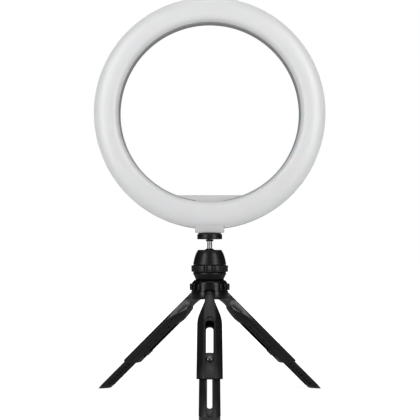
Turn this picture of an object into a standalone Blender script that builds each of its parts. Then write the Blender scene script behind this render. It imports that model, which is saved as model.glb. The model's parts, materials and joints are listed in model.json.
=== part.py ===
"""A 10 inch ring light on a mini tripod with a ball head and three folding, extending legs.

Metres, +Z up. The light faces -Y. The object stands on z = 0 with its three feet, and the
origin is the bottom centre of its bounding box, so the tripod's axis stands a little behind it.
"""

from math import acos, asin, atan2, cos, pi, radians, sin, sqrt

import bmesh
import bpy
from mathutils import Matrix, Vector

MM = 0.001
GAP = 0.3 * MM  # clearance between neighbouring solids

# Ring light
RING_CENTRE_Z = 318.6 * MM
RING_OUTER_R = 130.0 * MM
RING_INNER_R = 101.0 * MM
HOUSING_FRONT_Y = -4.3 * MM
HOUSING_BACK_Y = 10.5 * MM
DIFFUSER_FRONT_Y = -11.5 * MM
WALL = 2.0 * MM
SEAT_Z = 226.7 * MM  # accessory seat inside the ring
BOSS_HALF_WIDTH = 16.3 * MM
BOSS_BOTTOM_Z = 184.7 * MM
BOSS_FRONT_Y = -8.0 * MM
BOSS_CHIN_Z = -125.2 * MM  # from the ring's centre: the boss rises this far in front of the housing
BOSS_CENTRE_Y = 1.2 * MM  # from the ring's own plane to the tripod's axis
THREAD_DEPTH = 6.8 * MM
QUARTER_INCH_THREAD_R = 3.1 * MM
STUD_BORE_R = QUARTER_INCH_THREAD_R + GAP
HOUSING_SCREWS = 6
SCREW_HEAD_R = 1.6 * MM
POST_HALF_WIDTH = 15.0 * MM
INSERT_R = 5.0 * MM  # brass insert for the tripod screw
SLEEVE_R = 4.0 * MM  # brass insert in the accessory seat
SLEEVE_Y = 3.0 * MM

# Ball head
PLATFORM_R = 14.0 * MM
PLATFORM_Z = (177.3 * MM, 183.6 * MM)
BALL_R = 8.2 * MM
BALL_Z = 159.4 * MM
SOCKET_BORE_R = 9.7 * MM  # the clamp's parts slide in it
STEM_R = 2.8 * MM
DOME_Z = (148.7 * MM, 165.4 * MM)
DOME_R = 18.5 * MM
LOCK_RING_Z = (140.3 * MM, 148.4 * MM)
LOCK_RING_R = 20.6 * MM
BASE_Z = (131.6 * MM, 140.0 * MM)

# Hub
HUB_R = 20.7 * MM
HUB_RIB_R = 22.6 * MM
CROWN_Z = (119.8 * MM, 131.3 * MM)
HUB_BOTTOM_Z = 110.5 * MM
HUB_SLOT_HALF = 5.75 * MM

# Legs: u runs down the leg from its pivot, n points away from the folded axis, w is the width
LEG_COUNT = 3
LEG_ANGLE = radians(41.6)  # from the horizontal, spread
PIVOT_R = 14.5 * MM
PIVOT_Z = 116.6 * MM
PIN_R = 1.5 * MM
PIN_HALF = 9.4 * MM
TONGUE_HALF = 5.4 * MM
SHELL_CREST_N = 5.8 * MM
SHELL_BASE_N = -8.3 * MM
SHELL_KNUCKLE_N = -9.8 * MM  # the low swelling behind the hip
SHELL_HALF = 13.5 * MM
SHELL_END_U = 127.6 * MM
SEAM_N = -3.4 * MM
COVER_START_U = 17.5 * MM
CAVITY_START_U = 38.5 * MM
EXTENSION_CREST_N = 4.0 * MM
EXTENSION_BASE_N = -5.3 * MM
EXTENSION_HALF = 10.8 * MM
EXTENSION_START_U = 90.9 * MM
EXTENSION_SLOT_U = (108.0 * MM, 164.5 * MM)
PAD_THICK = 3.0 * MM
FRONT_SLOT_U = (45.0 * MM, 104.4 * MM)
FRONT_SLOT_HALF = 4.7 * MM
BACK_SLOT_U = (43.6 * MM, 106.0 * MM)
BACK_SLOT_HALF = 3.85 * MM
BUTTON_U = 99.2 * MM
GRIP_U = 93.5 * MM
BUTTON_R = 4.3 * MM
BUTTON_TOP_N = 6.4 * MM

FOOT_TIP_R = 151.48 * MM
FOOT_SIDE_R = 150.49 * MM  # where the corner of a rear foot reaches furthest back
FOOT_CORNER_W = 8.2 * MM
# The front foot reaches FOOT_TIP_R forward; the rear feet reach less far back.
REAR_REACH = FOOT_SIDE_R * cos(radians(60)) + FOOT_CORNER_W * sin(radians(60))
AXIS_Y = (FOOT_TIP_R - REAR_REACH) / 2


# ------------------------------------------------------------------ scene and materials

def clear_scene():
    for obj in list(bpy.data.objects):
        bpy.data.objects.remove(obj, do_unlink=True)


def collection(name, hidden=False):
    made = bpy.data.collections.new(name)
    bpy.context.scene.collection.children.link(made)
    made.hide_render = hidden
    return made


def material(name, colour, roughness, metallic=0.0):
    made = bpy.data.materials.new(name)
    made.use_nodes = True
    shader = made.node_tree.nodes["Principled BSDF"]
    shader.inputs["Base Color"].default_value = (*colour, 1.0)
    shader.inputs["Roughness"].default_value = roughness
    shader.inputs["Metallic"].default_value = metallic
    return made


def link(obj, where=None):
    (where or PARTS).objects.link(obj)
    return obj


def empty(name, parent=None, location=(0, 0, 0), rotation=(0, 0, 0)):
    obj = link(bpy.data.objects.new(name, None))
    obj.empty_display_size = 0.01
    obj.parent = parent
    obj.location = location
    obj.rotation_euler = rotation
    return obj


def place(obj, name, finish, parent, location=(0, 0, 0), rotation=(0, 0, 0)):
    """Names a finished piece, gives it its material and hangs it on its parent."""
    obj.name = name
    obj.data.name = name
    obj.data.materials.clear()
    obj.data.materials.append(material(name, *finish))
    obj.parent = parent
    obj.location = location
    obj.rotation_euler = rotation
    return obj


def copy_of(obj):
    return link(bpy.data.objects.new(obj.name, obj.data.copy()))


# ------------------------------------------------------------------ shapes

def frozen(obj):
    """Turns an object with modifiers, or a curve, into a plain mesh in its own space."""
    bpy.context.view_layer.update()
    graph = bpy.context.evaluated_depsgraph_get()
    mesh = bpy.data.meshes.new_from_object(obj.evaluated_get(graph))
    shape = bmesh.new()
    shape.from_mesh(mesh)
    bmesh.ops.remove_doubles(shape, verts=shape.verts, dist=1e-7)
    shape.to_mesh(mesh)
    shape.free()
    made = link(bpy.data.objects.new(obj.name, mesh))
    made.matrix_world = obj.matrix_world
    bpy.data.objects.remove(obj, do_unlink=True)
    return made


def smooth(obj, angle=35):
    obj.data.shade_smooth()
    obj.data.set_sharp_from_angle(angle=radians(angle))
    return obj


def turned(profile, steps=28):
    """A turned solid about Z. The profile of (radius, z) points runs down the outer side."""
    mesh = bpy.data.meshes.new("profile")
    points = [(r, 0.0, z) for r, z in profile]
    on_axis = profile[0][0] == 0 and profile[-1][0] == 0
    count = len(points)
    edges = [(i, i + 1) for i in range(count - 1)] + ([] if on_axis else [(count - 1, 0)])
    mesh.from_pydata(points, edges, [])
    obj = link(bpy.data.objects.new("turned", mesh))
    screw = obj.modifiers.new("Screw", "SCREW")
    screw.steps = screw.render_steps = steps
    screw.use_merge_vertices = True
    screw.merge_threshold = 1e-6
    return smooth(frozen(obj))


def tube_profile(outer, inner, low, high):
    """Closed section of a plain ring."""
    return [(inner, high), (outer, high), (outer, low), (inner, low)]


def rod_profile(radius, low, high, chamfer=0.3 * MM):
    return [(0, high), (radius - chamfer, high), (radius, high - chamfer), (radius, low + chamfer),
            (radius - chamfer, low), (0, low)]


def extruded(outline, low, high, axis="Z"):
    """A flat outline given depth from low to high. axis Z: outline is (x, y). Y: (x, z). X: (y, z)."""
    curve = bpy.data.curves.new("outline", "CURVE")
    curve.dimensions = "2D"
    curve.fill_mode = "BOTH"
    curve.extrude = (high - low) / 2
    spline = curve.splines.new("POLY")
    spline.points.add(len(outline) - 1)
    for point, (a, b) in zip(spline.points, outline):
        point.co = (a, b, 0, 1)
    spline.use_cyclic_u = True
    obj = frozen(link(bpy.data.objects.new("extruded", curve)))
    obj.data.transform(Matrix.Translation((0, 0, (high + low) / 2)))
    if axis == "Y":  # (x, y, z) -> (x, z, y)
        obj.data.transform(Matrix(((1, 0, 0, 0), (0, 0, 1, 0), (0, 1, 0, 0), (0, 0, 0, 1))))
    if axis == "X":  # (x, y, z) -> (z, x, y)
        obj.data.transform(Matrix(((0, 0, 1, 0), (1, 0, 0, 0), (0, 1, 0, 0), (0, 0, 0, 1))))
    outward(obj)
    return obj


def outward(obj):
    shape = bmesh.new()
    shape.from_mesh(obj.data)
    bmesh.ops.recalc_face_normals(shape, faces=shape.faces)
    shape.to_mesh(obj.data)
    shape.free()
    return obj


def box(x, y, z):
    """A box between the (low, high) pairs of each axis."""
    bpy.ops.mesh.primitive_cube_add(size=1)
    obj = bpy.context.object
    for owner in list(obj.users_collection):
        owner.objects.unlink(obj)
    link(obj)
    size = Vector((x[1] - x[0], y[1] - y[0], z[1] - z[0]))
    middle = Vector((x[0] + x[1], y[0] + y[1], z[0] + z[1])) / 2
    obj.data.transform(Matrix.Translation(middle) @ Matrix.Diagonal((*size, 1)))
    return obj


def rod(radius, low, high, axis="Z", steps=24, centre=(0, 0), chamfer=0.0):
    """A round bar from low to high along an axis; centre is its place across that axis."""
    profile = rod_profile(radius, low, high, chamfer) if chamfer else [
        (0, high), (radius, high), (radius, low), (0, low)]
    obj = turned(profile, steps)
    if axis == "X":
        obj.data.transform(Matrix.Rotation(pi / 2, 4, "Y"))
        obj.data.transform(Matrix.Translation((0, *centre)))
    elif axis == "Y":
        obj.data.transform(Matrix.Rotation(-pi / 2, 4, "X"))
        obj.data.transform(Matrix.Translation((centre[0], 0, centre[1])))
    else:
        obj.data.transform(Matrix.Translation((*centre, 0)))
    return obj


def combine(obj, other, operation):
    """Boolean of two meshes. The second one is used up."""
    for owner in list(other.users_collection):
        owner.objects.unlink(other)
    CUTTERS.objects.link(other)
    other.hide_render = True
    other.display_type = "WIRE"
    boolean = obj.modifiers.new("Boolean", "BOOLEAN")
    boolean.operation = operation
    boolean.object = other
    made = frozen(obj)
    bpy.data.objects.remove(other, do_unlink=True)
    return made


def cut(obj, *others):
    for other in others:
        obj = combine(obj, other, "DIFFERENCE")
    return obj


def joined(obj, *others):
    for other in others:
        obj = combine(obj, other, "UNION")
    return obj


def common(obj, *others):
    for other in others:
        obj = combine(obj, other, "INTERSECT")
    return obj


def bevelled(obj, width, segments=2, angle=35):
    bevel = obj.modifiers.new("Bevel", "BEVEL")
    bevel.width = width
    bevel.segments = segments
    bevel.limit_method = "ANGLE"
    bevel.angle_limit = radians(angle)
    return frozen(obj)


def arc(radius, start, end, count, centre=(0, 0)):
    """Points on an arc, angles in radians from the first axis."""
    return [(centre[0] + radius * cos(start + (end - start) * i / (count - 1)),
             centre[1] + radius * sin(start + (end - start) * i / (count - 1))) for i in range(count)]


def slot_outline(half, low, high, count=7):
    """A slot outline (across, along) with round ends, from low to high."""
    return arc(half, 0, pi, count, (0, high - half)) + arc(half, pi, 2 * pi, count, (0, low + half))


# ------------------------------------------------------------------ finishes: colour, roughness, metallic

BLACK_PLASTIC = ((0.012, 0.012, 0.013), 0.42)
BLACK_RUBBER = ((0.010, 0.010, 0.010), 0.85)
GREY_PLASTIC = ((0.55, 0.55, 0.56), 0.45)
MILKY_PLASTIC = ((0.82, 0.82, 0.82), 0.35)
STEEL = ((0.55, 0.55, 0.56), 0.3, 1.0)
BRASS = ((0.72, 0.52, 0.22), 0.35, 1.0)
CIRCUIT_BOARD = ((0.85, 0.85, 0.84), 0.5)
NYLON = ((0.75, 0.74, 0.70), 0.5)


# ------------------------------------------------------------------ ring light

def ring_turned(profile, steps=48):
    """A ring whose section is given as (radius, y), turned about the light's own Y axis."""
    obj = turned([(r, -y) for r, y in profile], steps)
    obj.data.transform(Matrix.Rotation(pi / 2, 4, "X"))
    return obj


def diffuser():
    """A ring of pillow section, hollow behind, with a notch at its foot for the boss."""
    front = [(129.6, -4.6), (126.5, -7.1), (122.5, -9.3), (117.5, -10.9), (112.0, -11.5),
             (109.2, -11.4), (106.1, -10.3), (103.7, -8.3), (102.3, -5.9), (102.0, -4.6)]
    back = [(103.8, -4.6), (105.4, -7.4), (109.4, -9.4), (117.0, -9.0), (123.0, -6.8), (126.8, -4.6)]
    ring = ring_turned([(r * MM, y * MM) for r, y in front[::-1] + back[::-1]])
    half = BOSS_HALF_WIDTH + GAP
    return cut(ring, box((-half, half), (-15 * MM, 0), (-140 * MM, BOSS_CHIN_Z + GAP)))


def bracket_window():
    """Where the bracket's post passes through the housing."""
    half = POST_HALF_WIDTH + GAP
    return box((-half, half), (HOUSING_FRONT_Y - MM, 8.0 * MM), (-140 * MM, -90 * MM))


def rear_housing():
    outer, inner = RING_OUTER_R, RING_INNER_R
    rim = outer - 0.7 * MM
    section = [(inner, HOUSING_FRONT_Y), (inner, HOUSING_BACK_Y - MM), (inner + MM, HOUSING_BACK_Y),
               (outer - 1.5 * MM, HOUSING_BACK_Y), (outer, HOUSING_BACK_Y - 1.5 * MM),
               (rim, HOUSING_FRONT_Y),
               (rim - WALL, HOUSING_FRONT_Y), (outer - WALL, HOUSING_BACK_Y - WALL),
               (inner + WALL, HOUSING_BACK_Y - WALL), (inner + WALL, HOUSING_FRONT_Y)]
    shell = ring_turned(section[::-1])
    shell = cut(shell, bracket_window())
    for centre in screw_places():
        shell = cut(shell, rod(SCREW_HEAD_R + GAP, 7.5 * MM, 12 * MM, "Y", 16, centre))
    return shell


def screw_places():
    middle = (RING_OUTER_R + RING_INNER_R) / 2
    step = 2 * pi / HOUSING_SCREWS
    return [(middle * cos(step * i), middle * sin(step * i)) for i in range(HOUSING_SCREWS)]


def mount_bracket():
    """The accessory seat inside the ring, the post through the housing and the threaded boss below."""
    low = SEAT_Z - RING_CENTRE_Z
    radius = RING_INNER_R - GAP
    half = sqrt(radius ** 2 - low ** 2)
    reach = atan2(-low, half)
    outline = arc(radius, -reach, reach - pi, 25)
    segment = extruded(outline, HOUSING_FRONT_Y + 0.5 * MM, HOUSING_BACK_Y, "Y")
    post = box((-POST_HALF_WIDTH, POST_HALF_WIDTH), (-0.8 * MM, 7.7 * MM), (-131 * MM, low - 4 * MM))
    boss_low, boss_top = BOSS_BOTTOM_Z - RING_CENTRE_Z, -RING_OUTER_R - 0.2 * MM
    chin_back = HOUSING_FRONT_Y - GAP
    side_view = [(BOSS_FRONT_Y, boss_low), (9.5 * MM, boss_low), (9.5 * MM, boss_top),
                 (chin_back, boss_top), (chin_back, BOSS_CHIN_Z), (BOSS_FRONT_Y, BOSS_CHIN_Z)]
    boss = bevelled(extruded(side_view, -BOSS_HALF_WIDTH, BOSS_HALF_WIDTH, "X"), 0.8 * MM, 1)
    bracket = joined(segment, post, boss)
    insert = rod(SLEEVE_R + GAP, low - 7.5 * MM, low + MM, steps=24, centre=(0, SLEEVE_Y))
    thread = rod(INSERT_R + GAP, boss_low - MM, boss_low + THREAD_DEPTH + GAP, steps=24,
                 centre=(0, BOSS_CENTRE_Y))
    inlet = box((13.3 * MM, 22.7 * MM), (2 * MM, 12 * MM), (low - 5.2 * MM, low - 1.4 * MM))
    return cut(bracket, insert, thread, inlet)


def build_light(parent):
    """Every piece of the ring light, placed about the middle of the ring."""
    light = empty("light_axis", parent, (0, -BOSS_CENTRE_Y, RING_CENTRE_Z))
    place(diffuser(), "diffuser", MILKY_PLASTIC, light)
    place(rear_housing(), "rear_housing", GREY_PLASTIC, light)
    place(mount_bracket(), "mount_bracket", GREY_PLASTIC, light)
    board = ring_turned([(104.0 * MM, -1.2 * MM), (104.0 * MM, -2.6 * MM),
                         (126.5 * MM, -2.6 * MM), (126.5 * MM, -1.2 * MM)], 48)
    place(board, "led_board", CIRCUIT_BOARD, light)
    driver = box((-17 * MM, 17 * MM), (3.6 * MM, 5.2 * MM), (-122.5 * MM, -108.5 * MM))
    driver = bevelled(driver, 0.4 * MM, 1)
    place(driver, "driver_board", CIRCUIT_BOARD, light, rotation=(0, radians(-60), 0))
    low = SEAT_Z - RING_CENTRE_Z
    socket = box((13.6 * MM, 22.4 * MM), (2.4 * MM, 10.4 * MM), (low - 4.9 * MM, low - 1.7 * MM))
    socket = bevelled(socket, MM)
    mouth = box((14.3 * MM, 21.7 * MM), (4.5 * MM, 12 * MM), (low - 4.2 * MM, low - 2.4 * MM))
    place(cut(socket, mouth), "power_inlet", STEEL, light)
    sleeve = turned(tube_profile(SLEEVE_R, 2.6 * MM, low - 7.2 * MM, low - 0.1 * MM), 24)
    place(sleeve, "accessory_insert", BRASS, light, (0, SLEEVE_Y, 0))
    boss_low = BOSS_BOTTOM_Z - RING_CENTRE_Z
    thread = turned(tube_profile(INSERT_R, QUARTER_INCH_THREAD_R + GAP, boss_low + 0.1 * MM,
                                 boss_low + THREAD_DEPTH), 24)
    place(thread, "tripod_insert", BRASS, light, (0, BOSS_CENTRE_Y, 0))
    head_y = HOUSING_BACK_Y - 0.4 * MM
    for i, (x, z) in enumerate(screw_places()):
        head = turned([(0, 6.0 * MM), (SCREW_HEAD_R, 6.0 * MM), (SCREW_HEAD_R, 0.3 * MM),
                       (SCREW_HEAD_R - 0.3 * MM, 0), (0, 0)], 16)
        place(head, f"housing_screw_{i + 1}", STEEL, light, (x, head_y, z), (pi / 2, 0, 0))


# ------------------------------------------------------------------ ball head

def build_platform(parent):
    """The disc that the light sits on, with its screw, the stem and the ball under it."""
    low, high = PLATFORM_Z
    screw_bore = QUARTER_INCH_THREAD_R + GAP
    stem_bore = STEM_R + GAP
    flange = 5.7 * MM  # the camera screw's foot, held inside the platform
    disc = turned([(screw_bore, high), (PLATFORM_R - 1.6 * MM, high),
                   (PLATFORM_R - 0.5 * MM, high - 0.5 * MM), (PLATFORM_R, high - 1.6 * MM),
                   (PLATFORM_R, low + 0.5 * MM), (PLATFORM_R - 0.5 * MM, low),
                   (stem_bore, low), (stem_bore, low + 3.2 * MM), (flange + GAP, low + 3.2 * MM),
                   (flange + GAP, low + 5.0 * MM), (screw_bore, low + 5.0 * MM)])
    place(disc, "platform", BLACK_PLASTIC, parent)
    pad = tube_profile(PLATFORM_R - 1.0 * MM, screw_bore, high + 0.15 * MM, BOSS_BOTTOM_Z - 0.2 * MM)
    place(turned(pad, 32), "platform_pad", BLACK_RUBBER, parent)
    screw = turned([(0, high + 6.5 * MM), (2.6 * MM, high + 6.5 * MM),
                    (QUARTER_INCH_THREAD_R, high + 6.0 * MM), (QUARTER_INCH_THREAD_R, low + 4.7 * MM),
                    (flange, low + 4.7 * MM), (flange, low + 3.5 * MM), (0, low + 3.5 * MM)], 24)
    place(screw, "camera_screw", STEEL, parent)
    collar = turned([(stem_bore, low - 0.3 * MM), (4.4 * MM, low - 0.3 * MM), (4.4 * MM, low - 1.5 * MM),
                     (3.7 * MM, low - 2.2 * MM), (stem_bore, low - 2.2 * MM)], 24)
    place(collar, "stem_collar", BLACK_PLASTIC, parent)
    stem_foot = BALL_Z - 1.2 * MM
    stem = rod(STEM_R, stem_foot, low + 3.0 * MM, steps=24, chamfer=0.3 * MM)
    place(stem, "stem", STEEL, parent)
    count = 11
    start, end = asin((STEM_R + 0.6 * MM) / BALL_R), radians(155)
    shell = [(BALL_R * sin(start + (end - start) * i / (count - 1)),
              BALL_Z + BALL_R * cos(start + (end - start) * i / (count - 1))) for i in range(count)]
    pocket = stem_foot - GAP
    ball = turned([(0, pocket), (stem_bore, pocket), (stem_bore, shell[0][1])]
                  + shell + [(0, shell[-1][1])], 28)
    place(ball, "ball", BLACK_PLASTIC, parent)


def build_socket(parent):
    """The dome over the ball, the base that its skirt slides over and the stud through both."""
    low, high = DOME_Z
    mouth = 6.6 * MM
    seat_r = BALL_R + GAP
    seat_top = asin(mouth / seat_r)
    seat = [(seat_r * sin(a), BALL_Z + seat_r * cos(a))
            for a in (seat_top + (pi / 2 - seat_top) * i / 6 for i in range(7))]
    skirt, skirt_bore, skirt_low = 14.5 * MM, 13.0 * MM, 142.0 * MM
    outside = [(mouth + 0.9 * MM, high), (12.6 * MM, high), (13.5 * MM, high - 0.5 * MM),
               (14.3 * MM, high - 1.9 * MM), (15.6 * MM, 161.0 * MM), (17.1 * MM, 156.4 * MM),
               (18.1 * MM, 152.0 * MM), (DOME_R, low + 1.0 * MM), (DOME_R, low),
               (skirt, low), (skirt, skirt_low), (skirt_bore, skirt_low)]
    inside = [(skirt_bore, 152.0 * MM), (SOCKET_BORE_R, 152.0 * MM), (SOCKET_BORE_R, 157.3 * MM),
              (seat_r, 157.3 * MM)]
    dome = turned(outside + inside + seat[::-1] + [(mouth, high - 0.8 * MM)])
    place(dome, "ball_housing", BLACK_PLASTIC, parent)
    sleeve, sleeve_top = 12.6 * MM, 151.0 * MM
    base_low, base_high = BASE_Z
    neck = 16.2 * MM
    base = turned([(STUD_BORE_R, 144.0 * MM), (SOCKET_BORE_R, 144.0 * MM), (SOCKET_BORE_R, sleeve_top),
                   (sleeve, sleeve_top), (sleeve, 141.4 * MM), (skirt, 141.4 * MM), (skirt, base_high),
                   (18.6 * MM, base_high), (18.9 * MM, base_high - 1.2 * MM), (16.4 * MM, 133.5 * MM),
                   (neck, 132.9 * MM), (neck, base_low), (STUD_BORE_R, base_low)])
    place(base, "ball_base", BLACK_PLASTIC, parent)
    stud_r, stud_top, stud_foot = QUARTER_INCH_THREAD_R, 143.4 * MM, 109.5 * MM
    stud = turned([(0, stud_top), (stud_r, stud_top), (stud_r, stud_foot), (0, stud_foot)], 32)
    place(stud, "head_stud", STEEL, parent)


def build_clamp(parent):
    """The seat under the ball, the ring that presses it up and the ribbed ring that drives it."""
    seat_r = BALL_R + GAP
    cup_low, cup_top = 150.0 * MM, 156.6 * MM
    start = acos((cup_top - BALL_Z) / seat_r)
    hollow = [(seat_r * sin(a), BALL_Z + seat_r * cos(a))
              for a in (start + (radians(168) - start) * i / 6 for i in range(7))]
    outer = SOCKET_BORE_R - GAP
    cup = turned([(outer, cup_top), (outer, cup_low), (hollow[-1][0], cup_low)] + hollow[::-1], 24)
    place(cup, "ball_cup", NYLON, parent)
    press = turned(tube_profile(outer, 4.2 * MM, 145.0 * MM, cup_low - GAP), 24)
    place(press, "pressure_ring", STEEL, parent)
    low, high = LOCK_RING_Z
    bore = 14.9 * MM
    core = 19.0 * MM
    ring = turned([(bore, high), (core - 0.6 * MM, high), (core, high - 0.6 * MM), (core, low + 0.6 * MM),
                   (core - 0.6 * MM, low), (bore, low)], 36)
    ribs = []
    slim, broad = LOCK_RING_R - 0.4 * MM, LOCK_RING_R
    for k in range(6):
        for offset, half, reach in ((-13, 1.05, slim), (0, 1.35, slim), (13, 1.05, slim),
                                    (30, 4.2, broad)):
            rib = rib_block(half * MM, core - 1.2 * MM, reach, low + 0.5 * MM, high - 0.5 * MM)
            rib.data.transform(Matrix.Rotation(radians(60 * k + offset), 4, "Z"))
            ribs.append(rib)
    place(smooth(joined(ring, *ribs)), "ball_lock_ring", BLACK_PLASTIC, parent)


def rib_block(half, inner, outer, low, high):
    """One grip rib pointing along -Y, rounded outside."""
    rib = box((-half, half), (-outer, -inner), (low, high))
    return bevelled(rib, min(0.6 * MM, half * 0.5), 1)


# ------------------------------------------------------------------ hub

def build_hub(parent):
    """The ribbed crown, the body with the three hinge slots under it and the nut of the stud."""
    low, high = CROWN_Z
    crown_r = 20.0 * MM
    roof = 122.9 * MM  # of the room that a leg's hip turns in
    crown = turned([(STUD_BORE_R, high), (17.4 * MM, high), (18.6 * MM, high - 0.9 * MM),
                    (19.5 * MM, high - 2.2 * MM), (crown_r, high - 3.4 * MM), (crown_r, low),
                    (STUD_BORE_R, low)], 36)
    for k in range(LEG_COUNT):
        for offset in (35, 53, 67, 85):
            rib = rib_block(1.45 * MM, 18.6 * MM, HUB_RIB_R, low + 0.5 * MM, low + 8.0 * MM)
            rib.data.transform(Matrix.Rotation(radians(120 * k + offset), 4, "Z"))
            crown = joined(crown, rib)
        pocket = extruded([(-6.6 * MM, low - MM), (-6.6 * MM, roof), (-18.3 * MM, roof),
                           (-18.3 * MM, roof - 1.3 * MM), (-30 * MM, roof - 1.3 * MM), (-30 * MM, low - MM)],
                          -HUB_SLOT_HALF, HUB_SLOT_HALF, "X")
        pocket.data.transform(Matrix.Rotation(radians(120 * k), 4, "Z"))
        crown = cut(crown, pocket)
    place(smooth(crown), "hub_crown", BLACK_PLASTIC, parent)
    top, bottom = low - GAP, HUB_BOTTOM_Z
    nut_r, nut_recess = 6.0 * MM, 2.4 * MM
    body = turned([(STUD_BORE_R, top), (HUB_R, top), (HUB_R, bottom + 1.2 * MM), (HUB_R - 1.2 * MM, bottom),
                   (nut_r + 0.4 * MM, bottom), (nut_r + 0.4 * MM, bottom + nut_recess),
                   (STUD_BORE_R, bottom + nut_recess)], 36)
    pin_room = PIN_R + GAP
    for k in range(LEG_COUNT):
        slot = box((-HUB_SLOT_HALF, HUB_SLOT_HALF), (-30 * MM, -8.2 * MM), (bottom - MM, top + MM))
        groove = box((-PIN_HALF - GAP, PIN_HALF + GAP), (-PIVOT_R - pin_room, -PIVOT_R + pin_room),
                     (PIVOT_Z - pin_room, top + MM))
        for cutter in (slot, groove):
            cutter.data.transform(Matrix.Rotation(radians(120 * k), 4, "Z"))
            body = cut(body, cutter)
    place(smooth(body), "hub_body", BLACK_PLASTIC, parent)
    nut = cut(rod(nut_r, bottom - 0.6 * MM, bottom + nut_recess - GAP, steps=6),
              rod(STUD_BORE_R, bottom - 2 * MM, bottom + 4 * MM))
    place(nut, "hub_nut", STEEL, parent)


# ------------------------------------------------------------------ legs

# A leg's mesh is drawn folded: w along +X, n along -Y, u along -Z, with its pivot at the origin.

def crest_arc(crest_n, half, count=11):
    """The leg's round outer face about the folded axis, as (w, n) points from +half to -half."""
    radius = PIVOT_R + crest_n
    reach = asin(half / radius)
    return [(radius * sin(a), radius * cos(a) - PIVOT_R)
            for a in (reach - 2 * reach * i / (count - 1) for i in range(count))]


def leg_prism(section, start, end):
    """A (w, n) section carried along the leg from u = start to end."""
    return extruded([(w, -n) for w, n in section], -end, -start, "Z")


def side_prism(outline, half):
    """A (u, n) side view given the width 2 * half."""
    return extruded([(-n, -u) for u, n in outline], -half, half, "X")


def plan_prism(outline, low, high):
    """A (w, u) plan view carried through from n = low to high."""
    return extruded([(w, -u) for w, u in outline], -high, -low, "Y")


def shell_section():
    sides = [(SHELL_HALF, -1.0 * MM), (2.65 * MM, SHELL_KNUCKLE_N)]
    return crest_arc(SHELL_CREST_N, SHELL_HALF) + [(-w, n) for w, n in sides] + sides[::-1]


def extension_section(clear=0.0):
    """The extension's section, grown by a clearance to make the shell's cavity."""
    half = EXTENSION_HALF + clear
    sides = [(half, -1.0 * MM), (3.3 * MM + clear, EXTENSION_BASE_N - clear)]
    return crest_arc(EXTENSION_CREST_N + clear, half, 9) + [(-w, n) for w, n in sides] + sides[::-1]


def hip_outline():
    """Side view (u, n) of the outer leg: round hip, stepped and swollen underside, slanted end."""
    hip = [(-SHELL_CREST_N * sin(a), SHELL_CREST_N * cos(a)) for a in (pi * i / 10 for i in range(11))]
    top = SHELL_CREST_N
    return ([(SHELL_END_U, top)] + hip
            + [(9 * MM, -5.4 * MM), (17.5 * MM, -4.6 * MM), (21.5 * MM, -6.6 * MM), (26 * MM, SHELL_BASE_N),
               (34 * MM, SHELL_KNUCKLE_N), (37 * MM, SHELL_KNUCKLE_N), (44 * MM, SHELL_BASE_N),
               (SHELL_END_U - 10.6 * MM, SHELL_BASE_N)])


def plan_outline():
    """Half widths (w, u): a slim tongue at the pivot that widens into the leg."""
    half = [(TONGUE_HALF, -8.0 * MM), (TONGUE_HALF, 14.8 * MM), (7.0 * MM, 20.9 * MM),
            (9.05 * MM, 27.0 * MM), (11.2 * MM, 33.1 * MM), (12.8 * MM, 39.3 * MM),
            (SHELL_HALF, 45.5 * MM), (SHELL_HALF, 140.0 * MM)]
    return half + [(-w, u) for w, u in half[::-1]]


def leg_shell_and_cover():
    """The outer leg, hollow for the extension, split at its seam into shell and lower cover."""
    whole = leg_prism(shell_section(), -SHELL_CREST_N - MM, SHELL_END_U + MM)
    whole = common(whole, side_prism(hip_outline(), 20 * MM), plan_prism(plan_outline(), -12 * MM, 10 * MM))
    whole = cut(whole, leg_prism(extension_section(0.35 * MM), CAVITY_START_U, SHELL_END_U + 5 * MM),
                plan_prism(slot_outline(FRONT_SLOT_HALF, *FRONT_SLOT_U), 0, 10 * MM),
                plan_prism(slot_outline(BACK_SLOT_HALF, *BACK_SLOT_U), -12 * MM, -2 * MM),
                rod(PIN_R + GAP, -20 * MM, 20 * MM, "X", 16))
    start, seam = COVER_START_U, SEAM_N - GAP
    lower = side_prism([(start, seam), (140 * MM, seam), (140 * MM, -12 * MM), (start, -12 * MM)], 20 * MM)
    cover = common(copy_of(whole), lower)
    below_seam = side_prism([(start - GAP, SEAM_N), (145 * MM, SEAM_N), (145 * MM, -15 * MM),
                             (start - GAP, -15 * MM)], 22 * MM)
    return smooth(cut(whole, below_seam)), smooth(cover)


def floor_u(n, above=0.0):
    """Where a line at height n over the leg's axis meets the level `above` the floor."""
    return (PIVOT_Z - above + n * cos(LEG_ANGLE)) / sin(LEG_ANGLE)


def extension_outline():
    """Side view (u, n) of the sliding section, cut off level over the pad."""
    top, base = EXTENSION_CREST_N + MM, EXTENSION_BASE_N - MM
    level = PAD_THICK + GAP
    return [(EXTENSION_START_U, top), (floor_u(top, level), top), (floor_u(base, level), base),
            (EXTENSION_START_U, base)]


def leg_extension():
    bar = leg_prism(extension_section(), EXTENSION_START_U - MM, 190 * MM)
    bar = common(bar, side_prism(extension_outline(), 20 * MM))
    bar = cut(bar, plan_prism(slot_outline(2.55 * MM, *EXTENSION_SLOT_U), -12 * MM, 12 * MM),
              rod(BUTTON_R + 0.2 * MM, -8 * MM, 3.2 * MM, "Y", 32, (0, -BUTTON_U)))
    return smooth(bar)


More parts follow.
